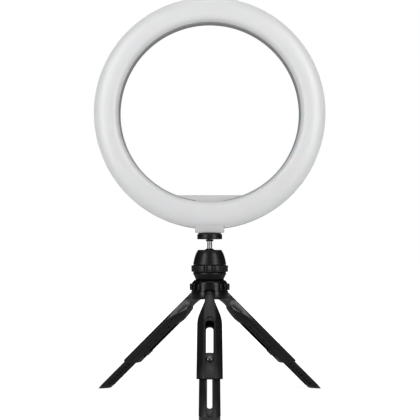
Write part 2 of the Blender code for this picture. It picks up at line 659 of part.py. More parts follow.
def foot_pad():
    """A wedge of rubber under the extension, flat on the floor, a little narrower all round."""
    inset = 0.25 * MM
    half = EXTENSION_HALF - inset
    section = (crest_arc(EXTENSION_CREST_N - inset, half, 9)
               + [(-half, -1.0 * MM), (-3.0 * MM, EXTENSION_BASE_N + inset),
                  (3.0 * MM, EXTENSION_BASE_N + inset), (half, -1.0 * MM)])
    pad = leg_prism(section, 150 * MM, 190 * MM)
    top, base = EXTENSION_CREST_N + MM, EXTENSION_BASE_N - MM
    outline = [(floor_u(top, PAD_THICK), top), (floor_u(top), top), (floor_u(base), base),
               (floor_u(base, PAD_THICK), base)]
    return smooth(common(pad, side_prism(outline, 20 * MM)))


def lock_button():
    """A round button with a domed top, pointing away from the leg."""
    top, radius, low = BUTTON_TOP_N, BUTTON_R - 0.1 * MM, 0.4 * MM
    button = turned([(0, top), (2.4 * MM, top - 0.1 * MM), (3.6 * MM, top - 0.5 * MM),
                     (radius, top - 1.2 * MM), (radius, low), (0, low)], 20)
    button.data.transform(Matrix.Rotation(pi / 2, 4, "X"))
    return button


def button_spring():
    """A short compression coil behind the button."""
    wire, radius, turns, per_turn = 0.3 * MM, 2.6 * MM, 2.5, 8
    low, high = -2.8 * MM, 0.1 * MM
    curve = bpy.data.curves.new("spring", "CURVE")
    curve.dimensions = "3D"
    curve.bevel_depth = wire
    curve.bevel_resolution = 0
    curve.use_fill_caps = True
    spline = curve.splines.new("POLY")
    count = int(turns * per_turn) + 1
    spline.points.add(count - 1)
    for i, point in enumerate(spline.points):
        turn = 2 * pi * i / per_turn
        n = low + wire + (high - low - 2 * wire) * i / (count - 1)
        point.co = (radius * cos(turn), -n, radius * sin(turn), 1)
    return smooth(outward(frozen(link(bpy.data.objects.new("spring", curve)))))


def slide_grip():
    """The ribbed thumb piece under the leg, drawn as a side view with three ridges."""
    start, length, ridges = GRIP_U, 9.0 * MM, 3
    top, floor, crest = EXTENSION_BASE_N - GAP, -8.9 * MM, -9.9 * MM
    pitch = length / ridges
    outline = [(start, top), (start + length, top)]
    for i in range(ridges - 1, -1, -1):
        here = start + pitch * i
        outline += [(here + 0.9 * pitch, floor), (here + 0.35 * pitch, crest), (here + 0.05 * pitch, floor)]
    return side_prism(outline, 3.5 * MM)


def build_legs(parent):
    """Draws one leg and hangs a copy of it at each hinge of the hub."""
    shell, cover = leg_shell_and_cover()
    pieces = [("leg_shell", shell, BLACK_PLASTIC, 0),
              ("leg_cover", cover, BLACK_PLASTIC, 0),
              ("leg_extension", leg_extension(), BLACK_PLASTIC, 0),
              ("foot_pad", foot_pad(), BLACK_RUBBER, 0),
              ("slide_grip", slide_grip(), BLACK_PLASTIC, 0),
              ("lock_button", lock_button(), BLACK_PLASTIC, BUTTON_U),
              ("button_spring", button_spring(), STEEL, BUTTON_U)]
    pin = rod(PIN_R, -PIN_HALF, PIN_HALF, "X", 16, chamfer=0.2 * MM)
    fold = LEG_ANGLE - pi / 2
    for k in range(LEG_COUNT):
        side = empty(f"leg_side_{k + 1}", parent, rotation=(0, 0, radians(120 * k)))
        pivot = empty(f"leg_pivot_{k + 1}", side, (0, -PIVOT_R, PIVOT_Z), (fold, 0, 0))
        for name, shape, finish, along in pieces:
            place(copy_of(shape), f"{name}_{k + 1}", finish, pivot, (0, 0, -along))
        place(copy_of(pin), f"pivot_pin_{k + 1}", STEEL, side, (0, -PIVOT_R, PIVOT_Z))
    for _, shape, _, _ in pieces:
        bpy.data.objects.remove(shape, do_unlink=True)
    bpy.data.objects.remove(pin, do_unlink=True)


clear_scene()
PARTS = collection("ring_light_on_mini_tripod")
CUTTERS = collection("cutters", hidden=True)
tripod_axis = empty("tripod_axis", location=(0, AXIS_Y, 0))
build_light(tripod_axis)
build_platform(tripod_axis)
build_socket(tripod_axis)
build_clamp(tripod_axis)
build_hub(tripod_axis)
build_legs(tripod_axis)
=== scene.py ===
"""The looks of a ring light on a mini tripod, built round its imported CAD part.

Lengths are in millimetres, and become metres where a mesh is made. The part's frame is used
throughout: +Z up, the lit front faces -Y, and the feet stand on z = 0. The light is drawn
round its own centre, the ball head and hub round the tripod's axis, and a leg folded down
beside that axis: w is its width along +X, n points away from the axis along -Y, and u runs
down the leg along -Z from its pivot.
"""

import json
from math import asin, atan2, cos, degrees, pi, radians, sin, sqrt, tan

import bmesh
import bpy
from mathutils import Matrix, Vector

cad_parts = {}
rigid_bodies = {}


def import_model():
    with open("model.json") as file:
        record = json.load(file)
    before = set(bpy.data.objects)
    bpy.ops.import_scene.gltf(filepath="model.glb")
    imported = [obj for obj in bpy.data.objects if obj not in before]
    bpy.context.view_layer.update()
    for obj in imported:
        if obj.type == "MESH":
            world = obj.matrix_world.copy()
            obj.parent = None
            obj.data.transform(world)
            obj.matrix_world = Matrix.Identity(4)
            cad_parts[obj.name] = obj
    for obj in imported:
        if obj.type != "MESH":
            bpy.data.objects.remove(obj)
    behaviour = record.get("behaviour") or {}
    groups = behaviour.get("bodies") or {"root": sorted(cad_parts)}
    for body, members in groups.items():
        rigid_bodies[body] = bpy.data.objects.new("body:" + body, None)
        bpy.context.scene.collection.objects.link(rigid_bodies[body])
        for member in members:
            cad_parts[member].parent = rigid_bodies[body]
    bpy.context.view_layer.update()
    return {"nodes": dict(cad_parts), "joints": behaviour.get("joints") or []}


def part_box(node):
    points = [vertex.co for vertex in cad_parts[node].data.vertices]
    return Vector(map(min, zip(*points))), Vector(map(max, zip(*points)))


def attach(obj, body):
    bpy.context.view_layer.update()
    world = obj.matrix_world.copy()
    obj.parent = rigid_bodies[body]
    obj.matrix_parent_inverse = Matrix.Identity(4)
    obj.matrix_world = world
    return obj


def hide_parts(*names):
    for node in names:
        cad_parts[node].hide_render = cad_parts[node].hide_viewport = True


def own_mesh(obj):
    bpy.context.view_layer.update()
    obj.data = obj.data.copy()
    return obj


MM = 0.001

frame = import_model()


# ------------------------------------------------------------------ places, from the frame

def middle(node):
    low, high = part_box(node)
    return (low + high) / 2 / MM


def top_of(node):
    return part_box(node)[1].z / MM


def bottom_of(node):
    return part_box(node)[0].z / MM


def joint(name):
    return next(j for j in frame["joints"] if j["name"] == name)


AXIS = Vector((middle("head_stud").x, middle("head_stud").y, 0))
ring_low, ring_high = (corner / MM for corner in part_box("rear_housing"))
HOUSING_BACK_Y = 10.5
LIGHT = Vector((0, ring_high.y - HOUSING_BACK_Y, (ring_low.z + ring_high.z) / 2))
RING_OUTER_R = (ring_high.z - ring_low.z) / 2
RING_INNER_R = 101.0
PIVOT_R = AXIS.y - middle("pivot_pin_1").y
PIVOT_Z = middle("pivot_pin_1").z
FOLD = radians(joint("leg_1_fold")["range_deg"][1])
LEG_COUNT = 3
BALL_Z = joint("ball_tilt")["pos_m"][2] / MM
GAP = 0.3


# ------------------------------------------------------------------ outlines

def rounded(corners, closed=True, steps=4):
    """Corners are (a, b) or (a, b, radius). Each radius becomes an arc."""
    points, count = [], len(corners)
    for i, corner in enumerate(corners):
        here = Vector(corner[:2])
        radius = corner[2] if len(corner) > 2 else 0
        if not radius or (not closed and i in (0, count - 1)):
            points.append(tuple(here))
            continue
        back = Vector(corners[i - 1][:2]) - here
        ahead = Vector(corners[(i + 1) % count][:2]) - here
        half = back.angle(ahead) / 2
        reach = min(radius / tan(half), 0.49 * back.length, 0.49 * ahead.length)
        radius = reach * tan(half)
        back.normalize()
        ahead.normalize()
        centre = here + (back + ahead).normalized() * radius / sin(half)
        start, end = here + back * reach - centre, here + ahead * reach - centre
        angle = atan2(start.y, start.x)
        turn = (atan2(end.y, end.x) - angle + pi) % (2 * pi) - pi
        points += [(centre.x + radius * cos(angle + turn * s / steps),
                    centre.y + radius * sin(angle + turn * s / steps)) for s in range(steps + 1)]
    return points


def flowing(points, steps=5):
    """A smooth curve through the points, which keeps its two ends."""
    ends = [Vector(points[0]) * 2 - Vector(points[1])] + [Vector(p) for p in points]
    ends.append(ends[-1] * 2 - ends[-2])
    curve = []
    for a, b, c, d in zip(ends, ends[1:], ends[2:], ends[3:]):
        for s in range(steps):
            t = s / steps
            curve.append(tuple(0.5 * (2 * b + (c - a) * t + (2 * a - 5 * b + 4 * c - d) * t * t
                                      + (3 * b - a - 3 * c + d) * t ** 3)))
    return curve + [tuple(points[-1])]


def arc(radius, start, end, count, centre=(0, 0)):
    """Points on an arc, with angles in degrees from the first axis."""
    angles = [radians(start + (end - start) * i / (count - 1)) for i in range(count)]
    return [(centre[0] + radius * cos(a), centre[1] + radius * sin(a)) for a in angles]


def block(half, low, high):
    """A rectangle as wide as 2 * half, from low to high."""
    return [(-half, low), (half, low), (half, high), (-half, high)]


def slot_outline(half, low, high, count=17):
    """A slot (across, along) with round ends, from low to high."""
    return arc(half, 0, 180, count, (0, high - half)) + arc(half, 180, 360, count, (0, low + half))


# ------------------------------------------------------------------ meshes

def solid(points, faces):
    """A closed object from points in millimetres."""
    mesh = bpy.data.meshes.new("solid")
    mesh.from_pydata([tuple(c * MM for c in p) for p in points], [], faces)
    shape = bmesh.new()
    shape.from_mesh(mesh)
    bmesh.ops.remove_doubles(shape, verts=shape.verts, dist=1e-7)
    bmesh.ops.recalc_face_normals(shape, faces=shape.faces)
    shape.to_mesh(mesh)
    shape.free()
    obj = bpy.data.objects.new("solid", mesh)
    bpy.context.scene.collection.objects.link(obj)
    return obj


def turned(profile, steps=96, about="Z"):
    """A profile of (radius, height) turned about an axis. It is closed, or it ends on the axis."""
    points, faces = [], []
    for radius, height in profile:
        for k in range(steps):
            a, b = radius * cos(2 * pi * k / steps), radius * sin(2 * pi * k / steps)
            points.append((a, b, height) if about == "Z" else (a, height, b))
    open_ended = profile[0][0] == 0 and profile[-1][0] == 0
    rows = len(profile)
    for row in range(rows - 1 if open_ended else rows):
        for k in range(steps):
            here, there = row * steps, (row + 1) % rows * steps
            faces.append((here + k, here + (k + 1) % steps, there + (k + 1) % steps, there + k))
    return solid(points, faces)


def prism(outline, low, high, axis="Z"):
    """An outline given depth from low to high. Z takes (x, y), Y takes (x, z), X takes (y, z)."""
    order = {"Z": lambda a, b, t: (a, b, t), "Y": lambda a, b, t: (a, t, b),
             "X": lambda a, b, t: (t, a, b)}
    count = len(outline)
    points = [order[axis](a, b, t) for t in (low, high) for a, b in outline]
    sides = [(i, (i + 1) % count, (i + 1) % count + count, i + count) for i in range(count)]
    return solid(points, sides + [tuple(range(count)), tuple(range(2 * count - 1, count - 1, -1))])


def rod(radius, low, high, chamfer=0.0, steps=32, axis="Z", centre=(0, 0)):
    """A round bar with rounded ends. The centre is its place across its axis."""
    profile = [(0, high), (radius, high, chamfer), (radius, low, chamfer), (0, low)]
    obj = turned(rounded(profile, False, 3), steps)
    if axis == "X":
        obj.data.transform(Matrix.Rotation(pi / 2, 4, "Y"))
        shift = (0, *centre)
    elif axis == "Y":
        obj.data.transform(Matrix.Rotation(-pi / 2, 4, "X"))
        shift = (centre[0], 0, centre[1])
    else:
        shift = (*centre, 0)
    return moved(obj, Matrix.Translation(shift))


def moved(obj, matrix):
    """Moves the mesh. The matrix's translation is in millimetres."""
    matrix = matrix.copy()
    matrix.translation *= MM
    obj.data.transform(matrix)
    if matrix.determinant() < 0:
        obj.data.flip_normals()
    return obj


def applied(obj):
    bpy.context.view_layer.update()
    mesh = bpy.data.meshes.new_from_object(obj.evaluated_get(bpy.context.evaluated_depsgraph_get()))
    used = obj.data
    obj.modifiers.clear()
    obj.data = mesh
    bpy.data.meshes.remove(used)
    return obj


def gathered(objects):
    """Separate closed shapes as one object."""
    shape = bmesh.new()
    for obj in objects:
        shape.from_mesh(obj.data)
    first = objects[0]
    shape.to_mesh(first.data)
    shape.free()
    for obj in objects[1:]:
        bpy.data.objects.remove(obj, do_unlink=True)
    return first


def combined(obj, other, operation):
    boolean = obj.modifiers.new("Boolean", "BOOLEAN")
    boolean.operation = operation
    boolean.solver = "EXACT"
    boolean.object = other
    applied(obj)
    bpy.data.objects.remove(other, do_unlink=True)
    return obj


def cut(obj, *others):
    for other in others:
        combined(obj, other, "DIFFERENCE")
    return obj


def joined(obj, *others):
    for other in others:
        combined(obj, other, "UNION")
    return obj


def common(obj, *others):
    for other in others:
        combined(obj, other, "INTERSECT")
    return obj


def softened(obj, width, segments=2, angle=32):
    """Rounds every edge sharper than the angle."""
    shape = bmesh.new()
    shape.from_mesh(obj.data)
    bmesh.ops.dissolve_limit(shape, angle_limit=radians(0.2), verts=shape.verts, edges=shape.edges)
    shape.to_mesh(obj.data)
    shape.free()
    bevel = obj.modifiers.new("Bevel", "BEVEL")
    bevel.width = width * MM
    bevel.segments = segments
    bevel.limit_method = "ANGLE"
    bevel.angle_limit = radians(angle)
    return applied(obj)


def twin(obj):
    copy = bpy.data.objects.new(obj.name, obj.data.copy())
    bpy.context.scene.collection.objects.link(copy)
    return copy


def show(obj, name, finish, body, nodes=(), sharp=32):
    """Names a finished piece, shades it, and lets it stand for its CAD nodes on their body."""
    obj.name = obj.data.name = name
    obj.data.materials.clear()
    obj.data.materials.append(finish)
    obj.data.shade_smooth()
    obj.data.set_sharp_from_angle(angle=radians(sharp))
    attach(obj, body)
    if nodes:
        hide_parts(*nodes)
    return obj


# ------------------------------------------------------------------ materials

def material(name, colour, roughness, metallic=0.0, **sockets):
    """A Principled material. Extra values go straight onto its own sockets, by name."""
    made = bpy.data.materials.new(name)
    made.use_nodes = True
    shader = made.node_tree.nodes["Principled BSDF"]
    shader.inputs["Base Color"].default_value = (*colour, 1)
    shader.inputs["Roughness"].default_value = roughness
    shader.inputs["Metallic"].default_value = metallic
    for socket, value in sockets.items():
        shader.inputs[socket.replace("_", " ")].default_value = value
    return made


def node(tree, kind, inputs=None, **settings):
    made = tree.nodes.new("ShaderNode" + kind)
    for key, value in settings.items():
        setattr(made, key, value)
    for key, value in (inputs or {}).items():
        if isinstance(value, bpy.types.NodeSocket):
            tree.links.new(value, made.inputs[key])
        else:
            made.inputs[key].default_value = value
    return made


def opened(made):
    """A material's node tree, its Principled node and the object's own coordinates."""
    tree = made.node_tree
    return tree, tree.nodes["Principled BSDF"], node(tree, "TexCoord").outputs["Object"]


def noise(tree, place, scale, detail=2.0, stretch=(1, 1, 1)):
    """Smooth noise from 0 to 1. The scale is in features per metre."""
    mapped = node(tree, "Mapping", {"Vector": place, "Scale": stretch})
    inputs = {"Vector": mapped.outputs[0], "Scale": scale, "Detail": detail}
    return node(tree, "TexNoise", inputs).outputs["Fac"]


def ranged(tree, value, low, high, start=0.3, end=0.7):
    """Low up to the value start, high from the value end, and even between them."""
    return node(tree, "MapRange", {"Value": value, "From Min": start, "From Max": end,
                                   "To Min": low, "To Max": high}).outputs["Result"]


COLOUR_A, COLOUR_B, COLOUR_OUT = 6, 7, 2  # the Mix node's colour sockets


def blended(tree, factor, one, two):
    """Colour one where the factor is 0, colour two where it is 1."""
    mix = node(tree, "Mix", data_type="RGBA")
    tree.links.new(factor, mix.inputs["Factor"])
    mix.inputs[COLOUR_A].default_value = (*one, 1)
    mix.inputs[COLOUR_B].default_value = (*two, 1)
    return mix.outputs[COLOUR_OUT]


def bumped(tree, shader, height, strength, depth, onto=None):
    """Raises the surface by a height from 0 to 1. The depth is in millimetres."""
    inputs = {"Height": height, "Strength": strength, "Distance": depth * MM}
    if onto is not None:
        inputs["Normal"] = onto
    bump = node(tree, "Bump", inputs).outputs["Normal"]
    tree.links.new(bump, shader.inputs["Normal"])
    return bump


def moulded(name, colour, worn_and_lit, roughness, grain=2600, grain_depth=0.02, spread=0.07, **sockets):
    """Moulded plastic: fine spark grain, slow waves of the tool, patchy sheen, and paler edges that are
    partly rubbed wear and partly a painted highlight.
    """
    made = material(name, colour, roughness, **sockets)
    tree, shader, place = opened(made)
    patches = noise(tree, place, 45, 4)
    # Paler edges by pointiness: partly rubbed wear, partly a painted highlight where edges catch the light.
    edge = node(tree, "NewGeometry").outputs["Pointiness"]
    edge_wear_and_highlight = ranged(tree, edge, 0.0, 0.55, 0.52, 0.60)
    spots = ranged(tree, noise(tree, place, 260, 3), 0.25, 1.0)
    patchy_edge_wear_and_highlight = node(tree, "Math", {0: edge_wear_and_highlight, 1: spots}, operation="MULTIPLY").outputs[0]
    sheen = ranged(tree, patches, roughness - spread, roughness + spread)
    tree.links.new(blended(tree, patchy_edge_wear_and_highlight, colour, worn_and_lit), shader.inputs["Base Color"])
    tree.links.new(sheen, shader.inputs["Roughness"])
    wave = bumped(tree, shader, noise(tree, place, 90, 1), 0.25, 0.05)
    bumped(tree, shader, noise(tree, place, grain, 2), 0.35, grain_depth, wave)
    return made


def turned_metal(name, colour, roughness, pitch=0.25, along="Z", **sockets):
    """Metal from a lathe: fine tool lines round its axis, and faint stains."""
    made = material(name, colour, roughness, 1.0, **sockets)
    tree, shader, place = opened(made)
    stretch = {"Z": (0.02, 0.02, 1), "Y": (0.02, 1, 0.02)}[along]
    lines = noise(tree, place, 1 / (pitch * MM), 3, stretch)
    stain = ranged(tree, noise(tree, place, 180, 3), 0.0, 0.5)
    darker = tuple(c * 0.72 for c in colour)
    tree.links.new(blended(tree, stain, colour, darker), shader.inputs["Base Color"])
    tree.links.new(ranged(tree, lines, roughness - 0.06, roughness + 0.08), shader.inputs["Roughness"])
    bumped(tree, shader, lines, 0.3, 0.02)
    return made


def milky_material():
    """Frosted diffuser: translucent body, satin skin with a very fine frost, faint haze inside."""
    colour, deep = (0.82, 0.82, 0.822), (0.775, 0.778, 0.785)
    made = material("milky_plastic", colour, 0.42, Subsurface_Weight=0.12, Subsurface_Scale=0.004,
                    Coat_Weight=0.8, Coat_Roughness=0.38, IOR=1.49)
    tree, shader, place = opened(made)
    haze = ranged(tree, noise(tree, place, 22, 3), 0.0, 0.35)
    tree.links.new(blended(tree, haze, colour, deep), shader.inputs["Base Color"])
    tree.links.new(ranged(tree, noise(tree, place, 60, 2), 0.38, 0.46), shader.inputs["Roughness"])
    wave = bumped(tree, shader, noise(tree, place, 30, 1), 0.12, 0.08)
    bumped(tree, shader, noise(tree, place, 1600, 2), 0.06, 0.01, wave)
    return made


def rubber_material():
    """Dull rubber: coarse grain, dusty lighter patches and a little sheen."""
    colour, dust = (0.013, 0.013, 0.013), (0.040, 0.039, 0.037)
    made = material("black_rubber", colour, 0.8, Sheen_Weight=0.12, Sheen_Roughness=0.6)
    tree, shader, place = opened(made)
    dusty = ranged(tree, noise(tree, place, 120, 5), 0.0, 0.5, 0.45, 0.75)
    tree.links.new(blended(tree, dusty, colour, dust), shader.inputs["Base Color"])
    tree.links.new(ranged(tree, noise(tree, place, 200, 2), 0.72, 0.9), shader.inputs["Roughness"])
    bumped(tree, shader, noise(tree, place, 1500, 3), 0.5, 0.05)
    return made


def board_material():
    """White solder mask with a ring of small square lamps."""
    colour, lamp = (0.84, 0.84, 0.82), (0.86, 0.70, 0.22)
    made = material("circuit_board", colour, 0.45)
    tree, shader, place = opened(made)
    cells = node(tree, "TexVoronoi", {"Vector": place, "Scale": 150.0, "Randomness": 0.1},
                 distance="CHEBYCHEV").outputs["Distance"]
    inside = ranged(tree, cells, 1.0, 0.0, 0.16, 0.20)
    tree.links.new(blended(tree, inside, colour, lamp), shader.inputs["Base Color"])
    tree.links.new(ranged(tree, noise(tree, place, 300, 2), 0.4, 0.5), shader.inputs["Roughness"])
    bumped(tree, shader, inside, 0.4, 0.2)
    return made


# Paler edge colour of the black plastics: partly wear, partly a painted highlight.
WORN_AND_LIT_BLACK = (0.02, 0.02, 0.021)
BLACK = moulded("black_plastic", (0.003, 0.003, 0.0033), WORN_AND_LIT_BLACK, 0.38, Specular_IOR_Level=0.44)
LEG_BLACK = moulded("black_plastic_legs", (0.003, 0.003, 0.0033), WORN_AND_LIT_BLACK, 0.34, 2200,
                    Specular_IOR_Level=0.62)
HUB_BLACK = moulded("black_plastic_hub", (0.001, 0.001, 0.0011), WORN_AND_LIT_BLACK, 0.26, 2400, 0.012,
                    Specular_IOR_Level=0.36)
BUTTON_BLACK = moulded("black_plastic_button", (0.006, 0.006, 0.0065), (0.03, 0.03, 0.031), 0.26,
                       2400, 0.01, Specular_IOR_Level=1.0, Coat_Weight=0.4, Coat_Roughness=0.25)
# Near-black dull plastic, painted shade for the gap under the bowl.
PAINTED_SHADE_BLACK = moulded("black_plastic_painted_shade", (0.0012, 0.0012, 0.0013), (0.004, 0.004, 0.004), 0.85,
                     Specular_IOR_Level=0.08)
PALE = moulded("grey_plastic", (0.60, 0.60, 0.605), (0.68, 0.68, 0.685), 0.46, 1800, 0.008)
# The housing is the bracket's pale plastic darkened: painted shade for its inner wall.
HOUSING_PAINTED_SHADE = moulded("grey_plastic_painted_shade", (0.33, 0.33, 0.335), (0.40, 0.40, 0.405), 0.5,
                       1800, 0.002)
NATURAL = moulded("nylon", (0.62, 0.61, 0.57), (0.70, 0.69, 0.66), 0.45)
MILKY = milky_material()
RUBBER = rubber_material()
BOARD = board_material()
STEEL = turned_metal("steel", (0.42, 0.42, 0.43), 0.30, Anisotropic=0.4)
PLATED = turned_metal("steel_fittings", (0.50, 0.50, 0.51), 0.32, along="Y")
BRASS = turned_metal("brass", (0.72, 0.52, 0.22), 0.30)


# ------------------------------------------------------------------ ring light

DIFFUSER_FRONT_Y = -11.5
DIFFUSER_INNER_R = 102.0
PILLOW_R = 112.0  # the highest line of the diffuser's front
PILLOW_OUTER_ARC, PILLOW_INNER_ARC = 25.9, 8.4
PILLOW_REACH = 42.8  # degrees of the outer arc
PILLOW_FLAT = 1.7  # between the two arcs
DIFFUSER_BACK = [(103.8, -4.6), (105.4, -7.4), (109.4, -9.4), (117.0, -9.0), (123.0, -6.8), (126.8, -4.6)]
HOUSING_FRONT_Y = -4.3
HOLE_RISE = 2.2  # the hole's lower edge stands this much nearer the centre, where the seat meets it
FACE_R = 118.0  # where the drawn-in foot of the hole fades out
WALL = 2.0
SEAT_Z = top_of("mount_bracket") - LIGHT.z
BOSS_LOW = bottom_of("mount_bracket") - LIGHT.z
BOSS_HALF = 16.3
BOSS_FRONT_Y, BOSS_BACK_Y = -8.0, 9.5
BOSS_CHIN = -125.1  # the boss rises this far, in front of the housing
POST_HALF = 15.0
POST_FRONT_Y, POST_BACK_Y = -0.8, 7.7
BELOW_RING = -140.0
INSERT_R, INSERT_DEEP = 4.0, 7.5
THREAD_R, THREAD_DEEP = 5.0, 7.1
INLET_X, INLET_HALF = 18.0, 4.4
INSERT_Y = 3.0  # the accessory insert's place behind the ring's plane
SCREW_R = (RING_OUTER_R + RING_INNER_R) / 2
SCREW_ANGLES = [60 * i for i in range(6)]
SCREW_HEAD_R = 1.6
RING_STEPS = 192


def on_light(obj):
    return moved(obj, Matrix.Translation(LIGHT))


def hole_raised(obj):
    """Draws the inner edge in along the bottom of the ring, fading out at the sides and the bulge."""
    for vertex in obj.data.vertices:
        x, z = vertex.co.x / MM, vertex.co.z / MM
        radius = sqrt(x * x + z * z)
        depth = max(0.0, -z / radius)
        near = min(1.0, (FACE_R - radius) / (FACE_R - DIFFUSER_INNER_R))
        if near > 0:
            scale = 1 - HOLE_RISE * depth ** 2 * near / radius
            vertex.co.x, vertex.co.z = x * scale * MM, z * scale * MM
    return obj


def diffuser():
    """A pillow section: a long arc outwards, a tighter one round the hole, and a notch for the boss."""
    outward = arc(PILLOW_OUTER_ARC, 90 - PILLOW_REACH, 90, 20, (PILLOW_R, 0))
    inward = arc(PILLOW_INNER_ARC, 90, 170, 16,
                 (PILLOW_R - PILLOW_FLAT, PILLOW_OUTER_ARC - PILLOW_INNER_ARC))
    front = [(r, DIFFUSER_FRONT_Y + PILLOW_OUTER_ARC - rise) for r, rise in outward + inward]
    ring = hole_raised(turned(front + DIFFUSER_BACK, RING_STEPS, "Y"))
    return cut(ring, prism(block(BOSS_HALF, BELOW_RING, BOSS_CHIN), -15, 0, "Y"))


def housing_profile():
    """A channel, open to the front, with a rebated rim and two shallow grooves in its back."""
    outer, inner, front, back = RING_OUTER_R, RING_INNER_R, HOUSING_FRONT_Y, HOUSING_BACK_Y
    floor, rebate = back - 0.5, outer - 0.7
    return rounded([
        (inner, front, 0.3), (inner, back, 1.4),
        (inner + 3.2, back), (inner + 3.5, floor), (inner + 4.3, floor), (inner + 4.6, back),
        (outer - 5.0, back), (outer - 4.7, floor), (outer - 3.9, floor), (outer - 3.6, back),
        (outer, back, 2.6), (outer, 0.6, 0.3), (outer - 0.5, 0.2), (rebate, front, 0.2),
        (rebate - WALL, front), (outer - WALL, back - WALL),
        (inner + WALL, back - WALL), (inner + WALL, front)])


def screw_places():
    return [(SCREW_R * cos(radians(a)), SCREW_R * sin(radians(a))) for a in SCREW_ANGLES]


def rear_housing():
    """The channel with a window for the bracket's post and a countersunk well for each screw."""
    shell = hole_raised(turned(housing_profile(), RING_STEPS, "Y"))
    window = prism(block(POST_HALF + GAP, BELOW_RING, -90), HOUSING_FRONT_Y - 1, POST_BACK_Y + GAP, "Y")
    bore, mouth = SCREW_HEAD_R + GAP, SCREW_HEAD_R + GAP + 1
    wells = []
    for x, z in screw_places():
        well = turned(rounded([(0, 7.5), (bore, 7.5), (bore, 10.0), (mouth, 11.0), (mouth, 13), (0, 13)],
                              False), 32)
        wells.append(moved(well, Matrix.Translation((x, 0, z)) @ Matrix.Rotation(-pi / 2, 4, "X")))
    return cut(shell, window, gathered(wells))


def mount_bracket():
    """The seat across the ring's foot, its post through the housing and the threaded boss below."""
    radius = RING_INNER_R - GAP
    half = sqrt(radius ** 2 - SEAT_Z ** 2)
    reach = degrees(atan2(-SEAT_Z, half))
    seat = prism(arc(radius, -reach, reach - 180, 49), HOUSING_FRONT_Y + 0.5, HOUSING_BACK_Y, "Y")
    softened(seat, 0.7, 3)
    post = prism(block(POST_HALF, -131, SEAT_Z - 4), POST_FRONT_Y, POST_BACK_Y, "Y")
    boss = prism(rounded([(-BOSS_HALF, BOSS_FRONT_Y, 1.6), (BOSS_HALF, BOSS_FRONT_Y, 1.6),
                          (BOSS_HALF, BOSS_BACK_Y, 2.2), (-BOSS_HALF, BOSS_BACK_Y, 2.2)], True, 6),
                 BOSS_LOW, BOSS_CHIN)
    behind = prism(block(20, -RING_OUTER_R - 0.2, -120), HOUSING_FRONT_Y - GAP, 12, "Y")
    boss = softened(cut(boss, behind), 0.4, 2, 50)
    bracket = joined(seat, post, boss)
    insert = rod(INSERT_R + GAP, SEAT_Z - INSERT_DEEP, SEAT_Z + 1, centre=(0, INSERT_Y))
    thread = rod(THREAD_R + GAP, BOSS_LOW - 1, BOSS_LOW + THREAD_DEEP, centre=(0, AXIS.y - LIGHT.y))
    inlet = prism(around_inlet(GAP, 1.2), 2, 12, "Y")
    return cut(bracket, insert, thread, inlet)


def around_inlet(clear, radius):
    """The inlet's rounded outline (x, z), wider by `clear` all round."""
    left, right = INLET_X - INLET_HALF - clear, INLET_X + INLET_HALF + clear
    low, high = SEAT_Z - 4.9 - clear, SEAT_Z - 1.7 + clear
    return rounded([(left, low, radius), (right, low, radius), (right, high, radius), (left, high, radius)])


def power_inlet():
    """A small rounded metal socket with a tongue inside."""
    left, right, low, high = INLET_X - 3.7, INLET_X + 3.7, SEAT_Z - 4.3, SEAT_Z - 2.3
    mouth = prism(rounded([(left, low, 1.0), (right, low, 1.0), (right, high, 1.0), (left, high, 1.0)]),
                  4.5, 12, "Y")
    return softened(cut(prism(around_inlet(0, 1.5), 2.4, 10.4, "Y"), mouth), 0.12)


def inlet_tongue():
    left, right, low, high = INLET_X - 3.0, INLET_X + 3.0, SEAT_Z - 3.65, SEAT_Z - 2.95
    return prism(rounded([(left, low, 0.2), (right, low, 0.2), (right, high, 0.2), (left, high, 0.2)]),
                 4.6, 9.4, "Y")


def screw_head():
    """A small domed head with a cross recess. It faces +Y round its own centre."""
    radius, length = SCREW_HEAD_R, 6.0
    head = turned(rounded([(0, 0), (1.1, -0.15), (radius, -0.6, 0.2), (radius, -length, 0.2), (0, -length)],
                          False), 32)
    arm, half = 0.95, 0.2
    for quarter in (0, pi / 2):
        bar = prism(block(arm, -half, half), -0.75, 1)
        moved(bar, Matrix.Rotation(quarter, 4, "Z"))
        head = cut(head, bar)
    return moved(softened(head, 0.06), Matrix.Rotation(-pi / 2, 4, "X"))


def build_light():
    show(on_light(diffuser()), "diffuser_shell", MILKY, "light", ["diffuser"])
    # The housing's darker grey is painted shade on its inner wall.
    show(on_light(rear_housing()), "housing_shell", HOUSING_PAINTED_SHADE, "light",
         ["rear_housing"])
    show(on_light(mount_bracket()), "bracket_block", PALE, "light", ["mount_bracket"])
    show(on_light(power_inlet()), "inlet_shell", PLATED, "light", ["power_inlet"])
    show(on_light(inlet_tongue()), "inlet_tongue", BLACK, "light")
    low, high, bore = SEAT_Z - INSERT_DEEP + GAP, SEAT_Z - 0.1, 2.6
    sleeve = turned(rounded([(INSERT_R, low), (INSERT_R, high, 0.3), (bore + 0.3, high),
                             (bore, high - 0.4), (bore, low)]), 48)
    moved(sleeve, Matrix.Translation((0, INSERT_Y, 0)))
    show(on_light(sleeve), "accessory_sleeve", BRASS, "light", ["accessory_insert"])
    head = screw_head()
    for i, (x, z) in enumerate(screw_places()):
        screw = moved(twin(head), Matrix.Translation((x, HOUSING_BACK_Y - 0.4, z)))
        show(on_light(screw), f"cross_screw_{i + 1}", PLATED, "light",
             [f"housing_screw_{i + 1}"])
    bpy.data.objects.remove(head, do_unlink=True)


# ------------------------------------------------------------------ ball head

def on_axis(obj):
    return moved(obj, Matrix.Translation(AXIS))


